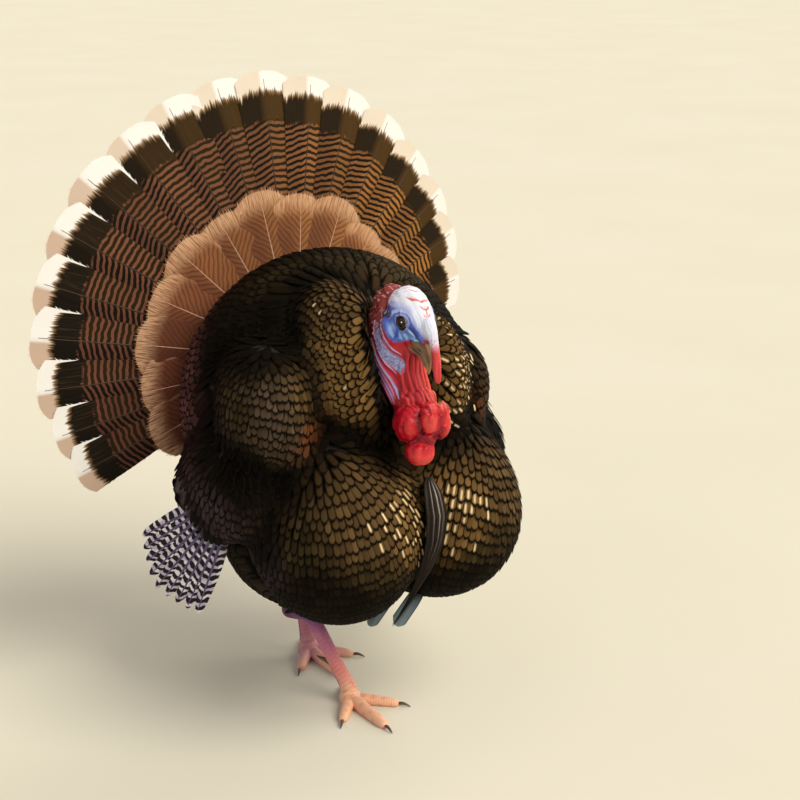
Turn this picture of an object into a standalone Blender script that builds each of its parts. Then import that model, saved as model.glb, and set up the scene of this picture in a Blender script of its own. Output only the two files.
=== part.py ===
"""Wild turkey gobbler in full strut, life size. The bird faces -Y, its left side is +X, the floor is z = 0."""

import math

import bmesh
import bpy
import numpy as np
from mathutils import Matrix, Vector

# --- driving dimensions, metres and degrees ---
GAP = 0.0006  # clearance between neighbouring parts

FAN_FEATHERS = 18
FAN_ROOT = (0.0, 0.322, 0.452)
FAN_RADIUS = 0.398  # middle feathers
FAN_EDGE_RADIUS = 0.345  # outermost feathers
FAN_HALF = 102.0
FAN_ROLL = -17.0  # the whole tail is tipped towards the bird's right
FAN_SWEEP = 10.0  # the feathers lean back from the root
FAN_THICK = 0.0024

COVERT_FEATHERS = 12
COVERT_RADIUS = 0.248
COVERT_LIFT = 0.0062

WING_QUILLS = 9
WING_ROOT = (0.200, 0.135, 0.355)
QUILL_LENGTH = 0.238

SHOULDER = {"right": (-0.150, 0.150, 0.456), "left": (0.122, 0.165, 0.440)}
WING_TUCK = {"right": 0.0, "left": 0.016}  # the left wing is held closer

HEAD = (-0.015, 0.0075, 0.570)  # midway between the eyes
HEAD_PITCH = 55.0
HEAD_SCALE = 1.12  # a big old bird
EYE_SPREAD = 0.0172
EYE_RADIUS = 0.0068

# from midway between the eyes
NECK_PATH = ((0, 0.033, 0.023), (0, 0.036, 0.004), (0, 0.041, -0.030), (0.001, 0.034, -0.062),
             (0.002, 0.020, -0.088), (0.004, 0.014, -0.110), (0.004, 0.019, -0.132))
NECK_RADII = ((0.015, 0.024), (0.0225, 0.0335), (0.0270, 0.0380), (0.0250, 0.0340), (0.0210, 0.0240),
              (0.0185, 0.0200), (0.0160, 0.0175))
SNOOD_PATH = ((0, -0.019, 0.004), (0, -0.0280, -0.006), (0, -0.0345, -0.020), (0.001, -0.0390, -0.038),
              (0.002, -0.0405, -0.055), (0.002, -0.0405, -0.062))
SNOOD_RADII = (0.0088, 0.0085, 0.0074, 0.0064, 0.0052, 0.0022)
CARUNCLES = (  # each touches one before it
    ((0.0000, -0.029, -0.106), (0.0145, 0.015, 0.0190)),
    ((-0.0175, -0.016, -0.112), (0.0160, 0.0165, 0.0200)),
    ((0.0105, -0.030, -0.111), (0.0105, 0.013, 0.0190)),
    ((-0.0070, -0.026, -0.127), (0.0120, 0.0120, 0.0120)),
    ((-0.0120, -0.024, -0.1425), (0.0155, 0.0155, 0.0155)),
)

FOOT_RIGHT = (-0.026, 0.148)
FOOT_LEFT = (0.012, 0.318)
ANKLE_RIGHT = (-0.060, 0.240, 0.160)
ANKLE_LEFT = (0.026, 0.382, 0.160)
TOE_LENGTH = {"inner": 0.064, "middle": 0.094, "outer": 0.068, "hind": 0.030}
TOE_AIM = {"inner": 42.0, "middle": 3.0, "outer": -44.0, "hind": 196.0}
TOE_THICK = {"inner": 0.0080, "middle": 0.0087, "outer": 0.0080, "hind": 0.0064}
HIND_RISE = 0.010
CLAW_LENGTH = 0.018
SPUR_LENGTH = 0.031

BEARD_PATH = ((0.003, 0.030, 0.362), (0.001, -0.004, 0.338), (-0.001, -0.020, 0.300), (-0.006, -0.024, 0.258),
              (-0.020, -0.019, 0.218), (-0.046, -0.006, 0.168))

COLOURS = {
    "body_feather": ((0.045, 0.030, 0.018), 0.55),
    "rufous_feather": ((0.30, 0.13, 0.06), 0.6),
    "tail_feather": ((0.17, 0.08, 0.045), 0.55),
    "barred_quill": ((0.35, 0.32, 0.36), 0.5),
    "red_skin": ((0.62, 0.03, 0.03), 0.4),
    "pale_skin": ((0.45, 0.50, 0.70), 0.45),
    "horn": ((0.23, 0.19, 0.13), 0.35),
    "eye": ((0.03, 0.015, 0.01), 0.08),
    "leg_skin": ((0.62, 0.25, 0.21), 0.5),
    "claw": ((0.10, 0.05, 0.04), 0.35),
    "beard_bristle": ((0.05, 0.04, 0.04), 0.6),
}

PARTS = []


# --- general shaping ---
def material(slot):
    mat = bpy.data.materials.get(slot)
    if mat is None:
        mat = bpy.data.materials.new(slot)
        mat.use_nodes = True
        colour, rough = COLOURS[slot]
        shader = next(n for n in mat.node_tree.nodes if n.type == "BSDF_PRINCIPLED")
        shader.inputs["Base Color"].default_value = (*colour, 1.0)
        shader.inputs["Roughness"].default_value = rough
    return mat


def solid(name, verts, faces, slot=None):
    """A new object from a list of points and faces."""
    mesh = bpy.data.meshes.new(name)
    mesh.from_pydata([tuple(v) for v in verts], [], faces)
    bm = bmesh.new()
    bm.from_mesh(mesh)
    bmesh.ops.recalc_face_normals(bm, faces=bm.faces)
    bm.to_mesh(mesh)
    bm.free()
    obj = bpy.data.objects.new(name, mesh)
    bpy.context.scene.collection.objects.link(obj)
    if slot:
        mesh.materials.append(material(slot))
        PARTS.append(obj)
    return obj


def discard(obj):
    mesh = obj.data
    bpy.data.objects.remove(obj)
    bpy.data.meshes.remove(mesh)


def loft(name, rings, slot=None):
    """Skin a row of rings with the same point count and close both ends."""
    n = len(rings[0])
    verts = [p for ring in rings for p in ring]
    faces = [
        (i * n + j, i * n + (j + 1) % n, (i + 1) * n + (j + 1) % n, (i + 1) * n + j)
        for i in range(len(rings) - 1)
        for j in range(n)
    ]
    faces.append(tuple(range(n)))
    faces.append(tuple(reversed(range((len(rings) - 1) * n, len(rings) * n))))
    return solid(name, verts, faces, slot)


def lobe(name, centre, radii, slot=None, turn=(0, 0, 0), taper=0.0, segs=18, rings=10):
    """A feathered lobe: an ellipsoid, optionally narrower towards its top and tilted."""
    spin = Matrix.Rotation(math.radians(turn[2]), 3, "Z")
    spin = spin @ Matrix.Rotation(math.radians(turn[1]), 3, "Y") @ Matrix.Rotation(math.radians(turn[0]), 3, "X")
    verts, faces = [], []
    for i in range(1, rings):
        lat = math.pi * i / rings
        w = math.cos(lat)
        for j in range(segs):
            lon = 2 * math.pi * j / segs
            s = math.sin(lat) * (1 - taper * w)
            p = Vector((radii[0] * s * math.cos(lon), radii[1] * s * math.sin(lon), radii[2] * w))
            verts.append(Vector(centre) + spin @ p)
    for i in range(rings - 2):
        for j in range(segs):
            k = (j + 1) % segs
            faces.append((i * segs + j, i * segs + k, (i + 1) * segs + k, (i + 1) * segs + j))
    for pole, row in ((1, 0), (-1, rings - 2)):
        verts.append(Vector(centre) + spin @ Vector((0, 0, pole * radii[2])))
        for j in range(segs):
            faces.append((len(verts) - 1, row * segs + j, row * segs + (j + 1) % segs))
    return solid(name, verts, faces, slot)


def tube(name, path, radii, slot=None, sides=10, up=(1, 0, 0)):
    """Round bar along a path; each radius is a number or (across, along-up) pair."""
    path = [Vector(p) for p in path]
    rings = []
    for i, p in enumerate(path):
        way = (path[min(i + 1, len(path) - 1)] - path[max(i - 1, 0)]).normalized()
        a = Vector(up) - way * way.dot(Vector(up))
        a.normalize()
        b = way.cross(a)
        ra, rb = radii[i] if isinstance(radii[i], tuple) else (radii[i], radii[i])
        turn = [2 * math.pi * k / sides for k in range(sides)]
        rings.append([p + a * (ra * math.cos(t)) + b * (rb * math.sin(t)) for t in turn])
    return loft(name, rings, slot)


def biggest_piece(bm):
    """Drop every loose shell but the one with most volume."""
    left, shells = set(bm.faces), []
    while left:
        stack, shell = [next(iter(left))], set()
        while stack:
            face = stack.pop()
            if face in left:
                left.discard(face)
                shell.add(face)
                stack.extend(f for e in face.edges for f in e.link_faces if f in left)
        shells.append(shell)
    if len(shells) > 1:
        def volume(shell):
            total = 0.0
            for face in shell:
                p = [v.co for v in face.verts]
                for k in range(1, len(p) - 1):
                    total += p[0].dot(p[k].cross(p[k + 1]))
            return abs(total)

        shells.sort(key=volume)
        drop = [f for shell in shells[:-1] for f in shell]
        bmesh.ops.delete(bm, geom=drop, context="FACES")
    bmesh.ops.delete(bm, geom=[e for e in bm.edges if not e.link_faces], context="EDGES")
    bmesh.ops.delete(bm, geom=[v for v in bm.verts if not v.link_faces], context="VERTS")


def grown(obj, by=GAP):
    """A copy swollen along its normals, used as a cutter."""
    copy = bpy.data.objects.new(obj.name + "_cut", obj.data.copy())
    bpy.context.scene.collection.objects.link(copy)
    bm = bmesh.new()
    bm.from_mesh(copy.data)
    bm.normal_update()
    moves = [(v, v.co + v.normal * by) for v in bm.verts]
    for v, co in moves:
        v.co = co
    bm.to_mesh(copy.data)
    bm.free()
    copy.hide_render = True
    copy.display_type = "WIRE"
    return copy


def combine(target, cutter, how="DIFFERENCE", crossed=False):
    mod = target.modifiers.new("cut", "BOOLEAN")
    mod.operation = how
    mod.solver = "EXACT"
    mod.use_self = crossed
    mod.object = cutter
    graph = bpy.context.evaluated_depsgraph_get()
    graph.update()
    mesh = bpy.data.meshes.new_from_object(target.evaluated_get(graph), depsgraph=graph)
    target.modifiers.clear()
    old = target.data
    name = old.name
    target.data = mesh
    bpy.data.meshes.remove(old)
    mesh.name = name
    bm = bmesh.new()
    bm.from_mesh(mesh)
    bmesh.ops.remove_doubles(bm, verts=bm.verts, dist=0.00002)
    bmesh.ops.dissolve_degenerate(bm, dist=0.00001, edges=bm.edges)
    biggest_piece(bm)
    bm.to_mesh(mesh)
    bm.free()


def carve(target, *others, gap=GAP, crossed=False):
    """Cut neighbours, with clearance, out of the target."""
    for other in others:
        cutter = grown(other, gap)
        combine(target, cutter, crossed=crossed)
        discard(cutter)


def halve(obj, side):
    """Keep one side of the bird's middle plane, half a gap off it."""
    bm = bmesh.new()
    bm.from_mesh(obj.data)
    cut = bmesh.ops.bisect_plane(
        bm,
        geom=bm.verts[:] + bm.edges[:] + bm.faces[:],
        plane_co=(side * GAP / 2, 0, 0),
        plane_no=(-side, 0, 0),
        clear_outer=True,
    )
    edges = [e for e in cut["geom_cut"] if isinstance(e, bmesh.types.BMEdge)]
    bmesh.ops.holes_fill(bm, edges=edges, sides=0)
    bmesh.ops.recalc_face_normals(bm, faces=bm.faces)
    bm.to_mesh(obj.data)
    bm.free()


def feather_sheet(name, origin, ex, ey, ez, count, start, stop, reach, r0, thick, step, slot=None,
                  sweep=0.0, camber=0.0, tips=(0.945, 1.0, 1.0, 0.945), rows=2, lift=0.0):
    """Overlapping feathers spread in one plane or cone as a single closed sheet.

    Angles run from ex towards ey, ez faces the viewer of the fan, reach(k) is the length of feather k.
    """
    o, ex, ey, ez = Vector(origin), Vector(ex), Vector(ey), Vector(ez)
    cols = len(tips)
    wide = (stop - start) / count
    front, back = [], []
    for k in range(count):
        for c in range(cols):
            u = -1 + 2 * c / (cols - 1)
            ang = math.radians(start + wide * (k + 0.5 + u * 0.4999))
            out = ex * math.cos(ang) + ey * math.sin(ang)
            tip = reach(k + u * 0.5) * tips[c]
            f_row, b_row = [], []
            for i in range(rows + 1):
                t = i / rows
                r = r0 + (tip - r0) * t
                rise = step * u * min(1.0, t * 1.5) + lift
                half = thick / 2 * (1.9 - 0.9 * t)
                p = o + out * (r * math.cos(math.radians(sweep)))
                p = p - ez * (r * math.sin(math.radians(sweep)) + camber * t * t)
                f_row.append(p + ez * (rise + half))
                b_row.append(p + ez * (rise - half))
            front.append(f_row)
            back.append(b_row)
    n, m = len(front), rows + 1
    verts = [p for row in front for p in row] + [p for row in back for p in row]
    faces = []
    for c in range(n - 1):
        for i in range(rows):
            a = c * m + i
            faces.append((a, a + 1, a + m + 1, a + m))
            b = n * m + a
            faces.append((b, b + m, b + m + 1, b + 1))
        for i in (0, rows):
            a = c * m + i
            faces.append((a, a + m, n * m + a + m, n * m + a))
    for c in (0, n - 1):
        for i in range(rows):
            a = c * m + i
            faces.append((a, a + 1, n * m + a + 1, n * m + a))
    return solid(name, verts, faces, slot)


# --- tail ---
def fan_axes():
    roll = math.radians(FAN_ROLL)
    middle = Vector((math.sin(roll), 0, math.cos(roll)))
    side = Vector((math.cos(roll), 0, -math.sin(roll)))
    return middle, side, Vector((0, -1, 0))


def behind_fan(lead):
    """Solid cone filling all that lies behind the fan, starting lead in front of it."""
    sides, far = 48, 0.6
    rise = far * math.sin(math.radians(FAN_SWEEP))
    o = Vector(FAN_ROOT) + Vector((0, -lead, 0))
    turn = [2 * math.pi * k / sides for k in range(sides)]
    wide = far * math.cos(math.radians(FAN_SWEEP))
    verts = [o] + [o + Vector((wide * math.cos(t), rise, wide * math.sin(t))) for t in turn]
    verts += [Vector((p.x, 1.0, p.z)) for p in verts[1:]]
    faces = [(0, 1 + j, 1 + (j + 1) % sides) for j in range(sides)]
    faces += [(1 + j, 1 + sides + j, 1 + sides + (j + 1) % sides, 1 + (j + 1) % sides) for j in range(sides)]
    faces.append(tuple(range(1 + sides, 1 + 2 * sides)))
    return solid("behind_fan", verts, faces)


def build_tail():
    middle, side, front = fan_axes()
    drop = FAN_RADIUS - FAN_EDGE_RADIUS

    def reach(k):
        off = 2 * k / (FAN_FEATHERS - 1) - 1
        return FAN_RADIUS - drop * off * off

    fan = feather_sheet("tail_fan", FAN_ROOT, middle, side, front, FAN_FEATHERS, -FAN_HALF, FAN_HALF, reach,
                        0.035, FAN_THICK, 0.0008, "tail_feather", sweep=FAN_SWEEP, rows=1)

    def covert_reach(k):
        off = 2 * k / (COVERT_FEATHERS - 1) - 1
        return COVERT_RADIUS - 0.022 * off * off

    coverts = feather_sheet("tail_coverts", FAN_ROOT, middle, side, front, COVERT_FEATHERS,
                            2 - FAN_HALF, FAN_HALF - 2, covert_reach, 0.05, 0.003, 0.0006, "rufous_feather",
                            sweep=FAN_SWEEP, lift=COVERT_LIFT, rows=1, tips=(0.93, 0.995, 0.995, 0.93))
    return fan, coverts


# --- wings ---
def build_wing(side, tag):
    out = side
    back_down = Vector((0.14 * out, 0.62, -0.77)).normalized()
    face = Vector((out * 0.86, -0.42, -0.12))
    face = (face - back_down * face.dot(back_down)).normalized()
    across = back_down.cross(face)
    if across.z < 0:
        across.negate()
    tuck = -out * WING_TUCK[tag]
    root = Vector((out * WING_ROOT[0] + tuck, WING_ROOT[1], WING_ROOT[2]))

    def reach(k):
        return QUILL_LENGTH * (1.0 - 0.018 * abs(k - 4.5))

    quills = feather_sheet(f"wing_primaries_{tag}", root, back_down, across, face, WING_QUILLS, -17, 22, reach,
                           0.06, 0.0022, 0.0, "barred_quill", camber=-0.012, tips=(0.93, 1.0, 0.93))
    shoulder = lobe(f"wing_shoulder_{tag}", SHOULDER[tag], (0.066, 0.100, 0.088),
                    "body_feather", turn=(14, 0, out * 10), segs=14, rings=9)
    coverts = lobe(f"wing_coverts_{tag}", (out * 0.190 + tuck, 0.175, 0.352), (0.050, 0.098, 0.074), "body_feather",
                   turn=(30, 0, out * 6), segs=14, rings=8)
    second = lobe(f"wing_secondaries_{tag}", (out * 0.206 + tuck, 0.214, 0.318), (0.034, 0.078, 0.052),
                  "body_feather", turn=(38, 0, 0), segs=11, rings=7)
    return quills, shoulder, coverts, second


# --- head and neck ---
def head_point(along, height, across=0.0):
    """Point in the head's own directions: along the bill, towards the crown, to the bird's left."""
    t = math.radians(HEAD_PITCH)
    forward = Vector((0, -math.cos(t), -math.sin(t)))
    up = Vector((0, -math.sin(t), math.cos(t)))
    return Vector(HEAD) + (forward * along + up * height + Vector((across, 0, 0))) * HEAD_SCALE


def from_eyes(x, y, z):
    """Point given from midway between the eyes, upright directions."""
    return Vector(HEAD) + Vector((x, y, z)) * HEAD_SCALE


def scaled(sizes):
    return [tuple(HEAD_SCALE * s for s in size) if isinstance(size, tuple) else HEAD_SCALE * size for size in sizes]


def head_rings(stations, sides):
    """Rings across the head: each station is (along, bottom, top, half width)."""
    rings = []
    for along, low, high, half in stations:
        ring = []
        for k in range(sides):
            t = 2 * math.pi * k / sides
            c, s = math.cos(t), math.sin(t)
            ring.append(head_point(along, (low + high) / 2 + (high - low) / 2 * s, half * c * (1 - 0.12 * s)))
        rings.append(ring)
    return rings


def build_head():
    head = loft("head", head_rings([
        (-0.041, -0.017, 0.000, 0.0080), (-0.037, -0.024, 0.009, 0.0150), (-0.029, -0.028, 0.0155, 0.0195),
        (-0.017, -0.029, 0.0200, 0.0215), (-0.004, -0.027, 0.0215, 0.0210), (0.008, -0.0255, 0.0205, 0.0185),
        (0.016, -0.0245, 0.0170, 0.0150), (0.0225, -0.0230, 0.0120, 0.0115), (0.027, -0.0200, 0.0060, 0.0070),
    ], 12), "pale_skin")
    upper = loft("bill_upper", head_rings([
        (0.015, -0.0140, 0.0040, 0.0135), (0.030, -0.0140, 0.0025, 0.0118), (0.043, -0.0148, -0.0010, 0.0090),
        (0.054, -0.0168, -0.0062, 0.0060), (0.0610, -0.0197, -0.0122, 0.0034), (0.065, -0.0218, -0.0178, 0.0014),
    ], 10), "horn")
    lower = loft("bill_lower", head_rings([
        (0.015, -0.0215, -0.0135, 0.0122), (0.031, -0.0210, -0.0135, 0.0104), (0.045, -0.0210, -0.0145, 0.0074),
        (0.056, -0.0212, -0.0168, 0.0036),
    ], 8), "horn")
    carve(lower, upper)
    snood = tube("snood", [from_eyes(*p) for p in SNOOD_PATH], scaled(SNOOD_RADII), "red_skin", sides=8)
    eyes = [lobe(f"eye_{tag}", head_point(0, 0, s * EYE_SPREAD), (EYE_RADIUS,) * 3, "eye", segs=9, rings=6)
            for tag, s in (("right", -1), ("left", 1))]
    carve(head, upper, lower, *eyes, gap=0.0004)
    carve(snood, head, upper)
    neck = tube("neck", [from_eyes(*p) for p in NECK_PATH], scaled(NECK_RADII), "red_skin", sides=12)
    carve(neck, head, upper, lower)
    wattle = None
    for centre, size in CARUNCLES:
        more = lobe("caruncles" if wattle is None else "lump", from_eyes(*centre), scaled([size])[0],
                    "red_skin" if wattle is None else None, segs=9, rings=6)
        if wattle is None:
            wattle = more
        else:
            combine(wattle, more, "UNION")
            discard(more)
    carve(wattle, neck)
    return head, upper, lower, snood, eyes, neck, wattle


# --- trunk ---
def build_trunk():
    breasts = []
    for s, tag in ((-1, "right"), (1, "left")):
        breast = lobe(f"breast_{tag}", (s * 0.078, 0.103, 0.289), (0.114, 0.138, 0.134), "body_feather",
                      turn=(-8, 0, s * 8), taper=0.06, segs=18, rings=11)
        halve(breast, s)
        breasts.append(breast)
    mantle = lobe("mantle", (0, 0.235, 0.412), (0.216, 0.178, 0.212), "body_feather", segs=20, rings=11)
    front = behind_fan(0.0105)
    combine(mantle, front)
    discard(front)
    carve(mantle, *breasts)
    ruffs = []
    for s, tag, centre, size in (
        (-1, "right", (0.052, 0.115, 0.497), (0.066, 0.085, 0.116)),
        (1, "left", (0.062, 0.115, 0.462), (0.066, 0.085, 0.098)),
    ):
        ruff = lobe(f"neck_ruff_{tag}", (s * centre[0], centre[1], centre[2]), size, "body_feather",
                    turn=(-14, s * 6, 0), segs=14, rings=9)
        halve(ruff, s)
        ruffs.append(ruff)
    belly = lobe("belly", (-0.004, 0.228, 0.238), (0.166, 0.136, 0.126), "body_feather", segs=14, rings=8)
    back = behind_fan(0.0090)
    combine(belly, back)
    rump = lobe("rump", (0, 0.335, 0.345), (0.125, 0.125, 0.150), "body_feather", turn=(-20, 0, 0), segs=14, rings=9)
    combine(rump, back, "INTERSECT")
    discard(back)
    return breasts, mantle, ruffs, belly, rump


# --- legs ---
def toe_path(heel, aim, length, sizes, rise):
    """Way the toe points and its centre line, low enough to press a flat on the floor; rise lifts the root."""
    way = Vector((-math.sin(math.radians(aim)), -math.cos(math.radians(aim)), 0))
    steps = (0.0, 0.3, 0.6, 0.85, 1.0)
    return way, [heel + way * (length * t) + Vector((0, 0, 0.78 * r + rise * (1 - t))) for t, r in zip(steps, sizes)]


def build_leg(foot, ankle, tag):
    heel = Vector((foot[0], foot[1], 0.0))
    knee = Vector(ankle)
    low = heel + Vector((0, 0, 0.019))
    thigh = lobe(f"thigh_{tag}", knee + Vector((0, -0.008, 0.000)), (0.029, 0.038, 0.062), "body_feather",
                 turn=(18, 0, 0), taper=-0.1, segs=12, rings=8)
    shank = tube(f"shank_{tag}", [low + (knee - low) * t for t in (0.0, 0.08, 0.25, 0.6, 1.0)],
                 [(0.0108, 0.0118), (0.0094, 0.0106), (0.0083, 0.0098), (0.0090, 0.0110), (0.0122, 0.0148)],
                 "leg_skin", sides=8)
    pad = lobe(f"foot_pad_{tag}", heel + Vector((0, 0, 0.008)), (0.0150, 0.0155, 0.0142), "leg_skin",
               segs=10, rings=6)
    flatten(pad)
    toes, whole = [], []
    for name, length in TOE_LENGTH.items():
        sizes = [TOE_THICK[name] * f for f in (1.0, 0.95, 0.88, 0.78, 0.55)]
        way, path = toe_path(heel, TOE_AIM[name], length, sizes, HIND_RISE if name == "hind" else 0.0)
        toe = tube(f"toe_{name}_{tag}", path, sizes, "leg_skin", sides=8, up=(0, 0, 1))
        flatten(toe)
        tip = path[-1]
        droop = ((0.03, 0.0004), (0.4, 0.0012), (0.75, -0.0008), (1.0, -0.0034))
        claw = tube(f"claw_{name}_{tag}", [tip + way * (CLAW_LENGTH * a) + Vector((0, 0, b)) for a, b in droop],
                    [0.0031, 0.0027, 0.0018, 0.0005], "claw", sides=5, up=(0, 0, 1))
        raise_to(claw, 0.0004)
        carve(claw, toe)
        swollen = grown(toe)
        for other in whole:
            combine(toe, other, crossed=True)
        carve(toe, pad)
        whole.append(swollen)
        toes.append(toe)
    for cutter in whole:
        discard(cutter)
    carve(shank, pad, *toes, thigh)
    root = low + (knee - low) * 0.24 + Vector((-0.001, 0.004, 0))
    aim = Vector((-0.35, 0.92, -0.12)).normalized()
    spur = tube(f"spur_{tag}",
                [root + aim * (SPUR_LENGTH * t) + Vector((0, 0, 0.006 * t * t)) for t in (0.0, 0.3, 0.65, 1.0)],
                [0.0062, 0.0050, 0.0030, 0.0006], "claw", sides=5)
    carve(spur, shank)
    return thigh, shank


def flatten(obj):
    """Flat sole: nothing below the floor."""
    for v in obj.data.vertices:
        if v.co.z < 0.0011:
            v.co.z = 0.0


def raise_to(obj, level):
    low = min(v.co.z for v in obj.data.vertices)
    if low < level:
        for v in obj.data.vertices:
            v.co.z += level - low


def build_beard(breasts):
    path = [Vector(p) for p in BEARD_PATH]
    beard = tube("beard", path, [(0.0060, 0.0040), (0.0072, 0.0046), (0.0082, 0.0050), (0.0090, 0.0050),
                                 (0.0086, 0.0046), (0.0050, 0.0026)], "beard_bristle", sides=8)
    carve(beard, *breasts)
    return beard


# --- finishing ---
def settle(objects):
    """Put the middle of the whole bird's footprint at the origin and shade it."""
    pts = np.array([tuple(v.co) for o in objects for v in o.data.vertices])
    low, high = pts.min(0), pts.max(0)
    shift = Vector((-(low[0] + high[0]) / 2, -(low[1] + high[1]) / 2, 0.0))
    for obj in objects:
        obj.data.transform(Matrix.Translation(shift))
        bm = bmesh.new()
        bm.from_mesh(obj.data)
        bmesh.ops.triangulate(bm, faces=[f for f in bm.faces if len(f.verts) > 4])
        for edge in bm.edges:
            edge.smooth = len(edge.link_faces) != 2 or edge.calc_face_angle(0.0) < math.radians(38)
        for face in bm.faces:
            face.smooth = True
        bm.to_mesh(obj.data)
        bm.free()


def main():
    for obj in list(bpy.data.objects):
        bpy.data.objects.remove(obj)
    breasts, mantle, ruffs, belly, rump = build_trunk()
    head, upper, lower, snood, eyes, neck, wattle = build_head()
    carve(neck, *breasts)
    carve(wattle, *breasts)
    for ruff in ruffs:
        carve(ruff, *breasts, mantle, neck, wattle, head)
    carve(neck, mantle)
    trunk = [*breasts, mantle, *ruffs]
    wing_lobes = []
    for side, tag in ((-1, "right"), (1, "left")):
        quills, shoulder, coverts, second = build_wing(side, tag)
        carve(shoulder, *trunk)
        carve(coverts, *trunk, shoulder)
        carve(second, *trunk, coverts)
        carve(quills, coverts, second, *trunk, crossed=True)
        wing_lobes += [coverts, second]
    carve(belly, *breasts, mantle, *wing_lobes)
    carve(rump, belly)
    for foot, ankle, tag in ((FOOT_RIGHT, ANKLE_RIGHT, "right"), (FOOT_LEFT, ANKLE_LEFT, "left")):
        thigh, shank = build_leg(foot, ankle, tag)
        carve(shank, belly, mantle, *breasts, rump)
        carve(thigh, *breasts, mantle, belly, rump)
    fan, coverts = build_tail()
    carve(fan, rump, crossed=True)
    carve(coverts, rump, crossed=True)
    build_beard(breasts)
    settle(PARTS)


main()
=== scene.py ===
"""Looks of the life-size strutting wild turkey gobbler: skin, plumage, tail, head, bill, feet and beard.

The bird faces -Y, its left side is +X, and it stands on z = 0.
"""

import math

import bmesh
import bpy
import numpy as np
from mathutils import Matrix, Vector
from mathutils.bvhtree import BVHTree
from mathutils.kdtree import KDTree


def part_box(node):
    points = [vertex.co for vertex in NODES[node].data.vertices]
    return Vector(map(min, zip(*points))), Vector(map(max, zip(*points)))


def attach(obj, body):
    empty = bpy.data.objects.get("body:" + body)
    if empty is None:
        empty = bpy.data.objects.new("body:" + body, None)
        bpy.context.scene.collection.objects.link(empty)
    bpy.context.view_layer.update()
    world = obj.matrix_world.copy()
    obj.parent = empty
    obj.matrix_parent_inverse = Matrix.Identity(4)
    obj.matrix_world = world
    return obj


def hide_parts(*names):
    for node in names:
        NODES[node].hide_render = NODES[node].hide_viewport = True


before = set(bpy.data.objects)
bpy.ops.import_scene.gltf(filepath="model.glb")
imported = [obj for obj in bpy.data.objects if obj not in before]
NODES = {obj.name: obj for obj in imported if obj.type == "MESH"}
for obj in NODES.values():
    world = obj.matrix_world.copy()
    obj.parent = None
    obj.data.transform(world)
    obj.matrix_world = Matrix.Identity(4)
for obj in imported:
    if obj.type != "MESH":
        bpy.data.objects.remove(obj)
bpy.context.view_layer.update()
SIDES = {"right": -1, "left": 1}
TOES = ("inner", "middle", "outer", "hind")
rng = np.random.default_rng(7)

# --- measures taken from the frame, metres ---
COAT = 0.008  # depth of the body plumage over the skin
CREASE = 0.011  # folds between lobes narrower than twice this are filled
SKIN_CELL = {"trunk": 0.006, "head": 0.00105, "leg": 0.0014}


def middle(node):
    low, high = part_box(node)
    return (low + high) / 2


EYES = (middle("eye_left") + middle("eye_right")) / 2
EYE_RADIUS = (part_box("eye_left")[1].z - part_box("eye_left")[0].z) / 2
AVERAGE_EYE = 0.0068
MM = 0.001
HEAD_MM = MM * 1.12 * EYE_RADIUS / AVERAGE_EYE  # the head is larger than average even for its eyes
MID_X = (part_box("breast_left")[0].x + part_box("breast_right")[1].x) / 2
START_Y = middle("foot_pad_right").y - 0.148


def bird(x, y, z):
    """A point given from the bird's own middle plane and toe line."""
    return Vector((MID_X + x, START_Y + y, z))


TAIL = {
    "root": bird(0, 0.322, 0.452), "roll": -17.0, "lean": 10.0, "half": 102.0,
    "long": 0.398, "short": 0.345, "feathers": 18, "tuck": 0.0006,
}

TRUNK_NODES = [
    "breast_right", "breast_left", "mantle", "neck_ruff_right", "neck_ruff_left", "belly", "rump",
    "wing_shoulder_right", "wing_shoulder_left", "wing_coverts_right", "wing_coverts_left",
    "wing_secondaries_right", "wing_secondaries_left", "thigh_right", "thigh_left",
]
HEAD_NODES = ["head", "neck", "caruncles", "snood"]
LEG_NODES = [n for n in NODES if n.startswith(("shank", "toe_", "foot_pad"))]


# --- shader nodes written as sums ---
class Flow:
    """A value on its way through a material; arithmetic on it adds Math nodes."""

    def __init__(self, net, socket):
        self.net, self.socket = net, socket

    def math(self, operation, *others):
        return self.net.node("ShaderNodeMath", {"operation": operation}, dict(enumerate((self, *others))))

    def __add__(self, other):
        return self.math("ADD", other)

    def __sub__(self, other):
        return self.math("SUBTRACT", other)

    def __mul__(self, other):
        return self.math("MULTIPLY", other)

    def __rsub__(self, other):
        return self.net.value(other).math("SUBTRACT", self)

    __radd__ = __add__
    __rmul__ = __mul__

    def size(self):
        return self.math("ABSOLUTE")

    def or_more(self, other):
        return self.math("MAXIMUM", other)

    def fade(self, start, end):
        """0 before start and 1 after end, smooth between; start may be the larger one."""
        inputs = {0: self, 1: min(start, end), 2: max(start, end)}
        shade = self.net.node("ShaderNodeMapRange", {"interpolation_type": "SMOOTHSTEP"}, inputs)
        return shade if start < end else 1 - shade


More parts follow.
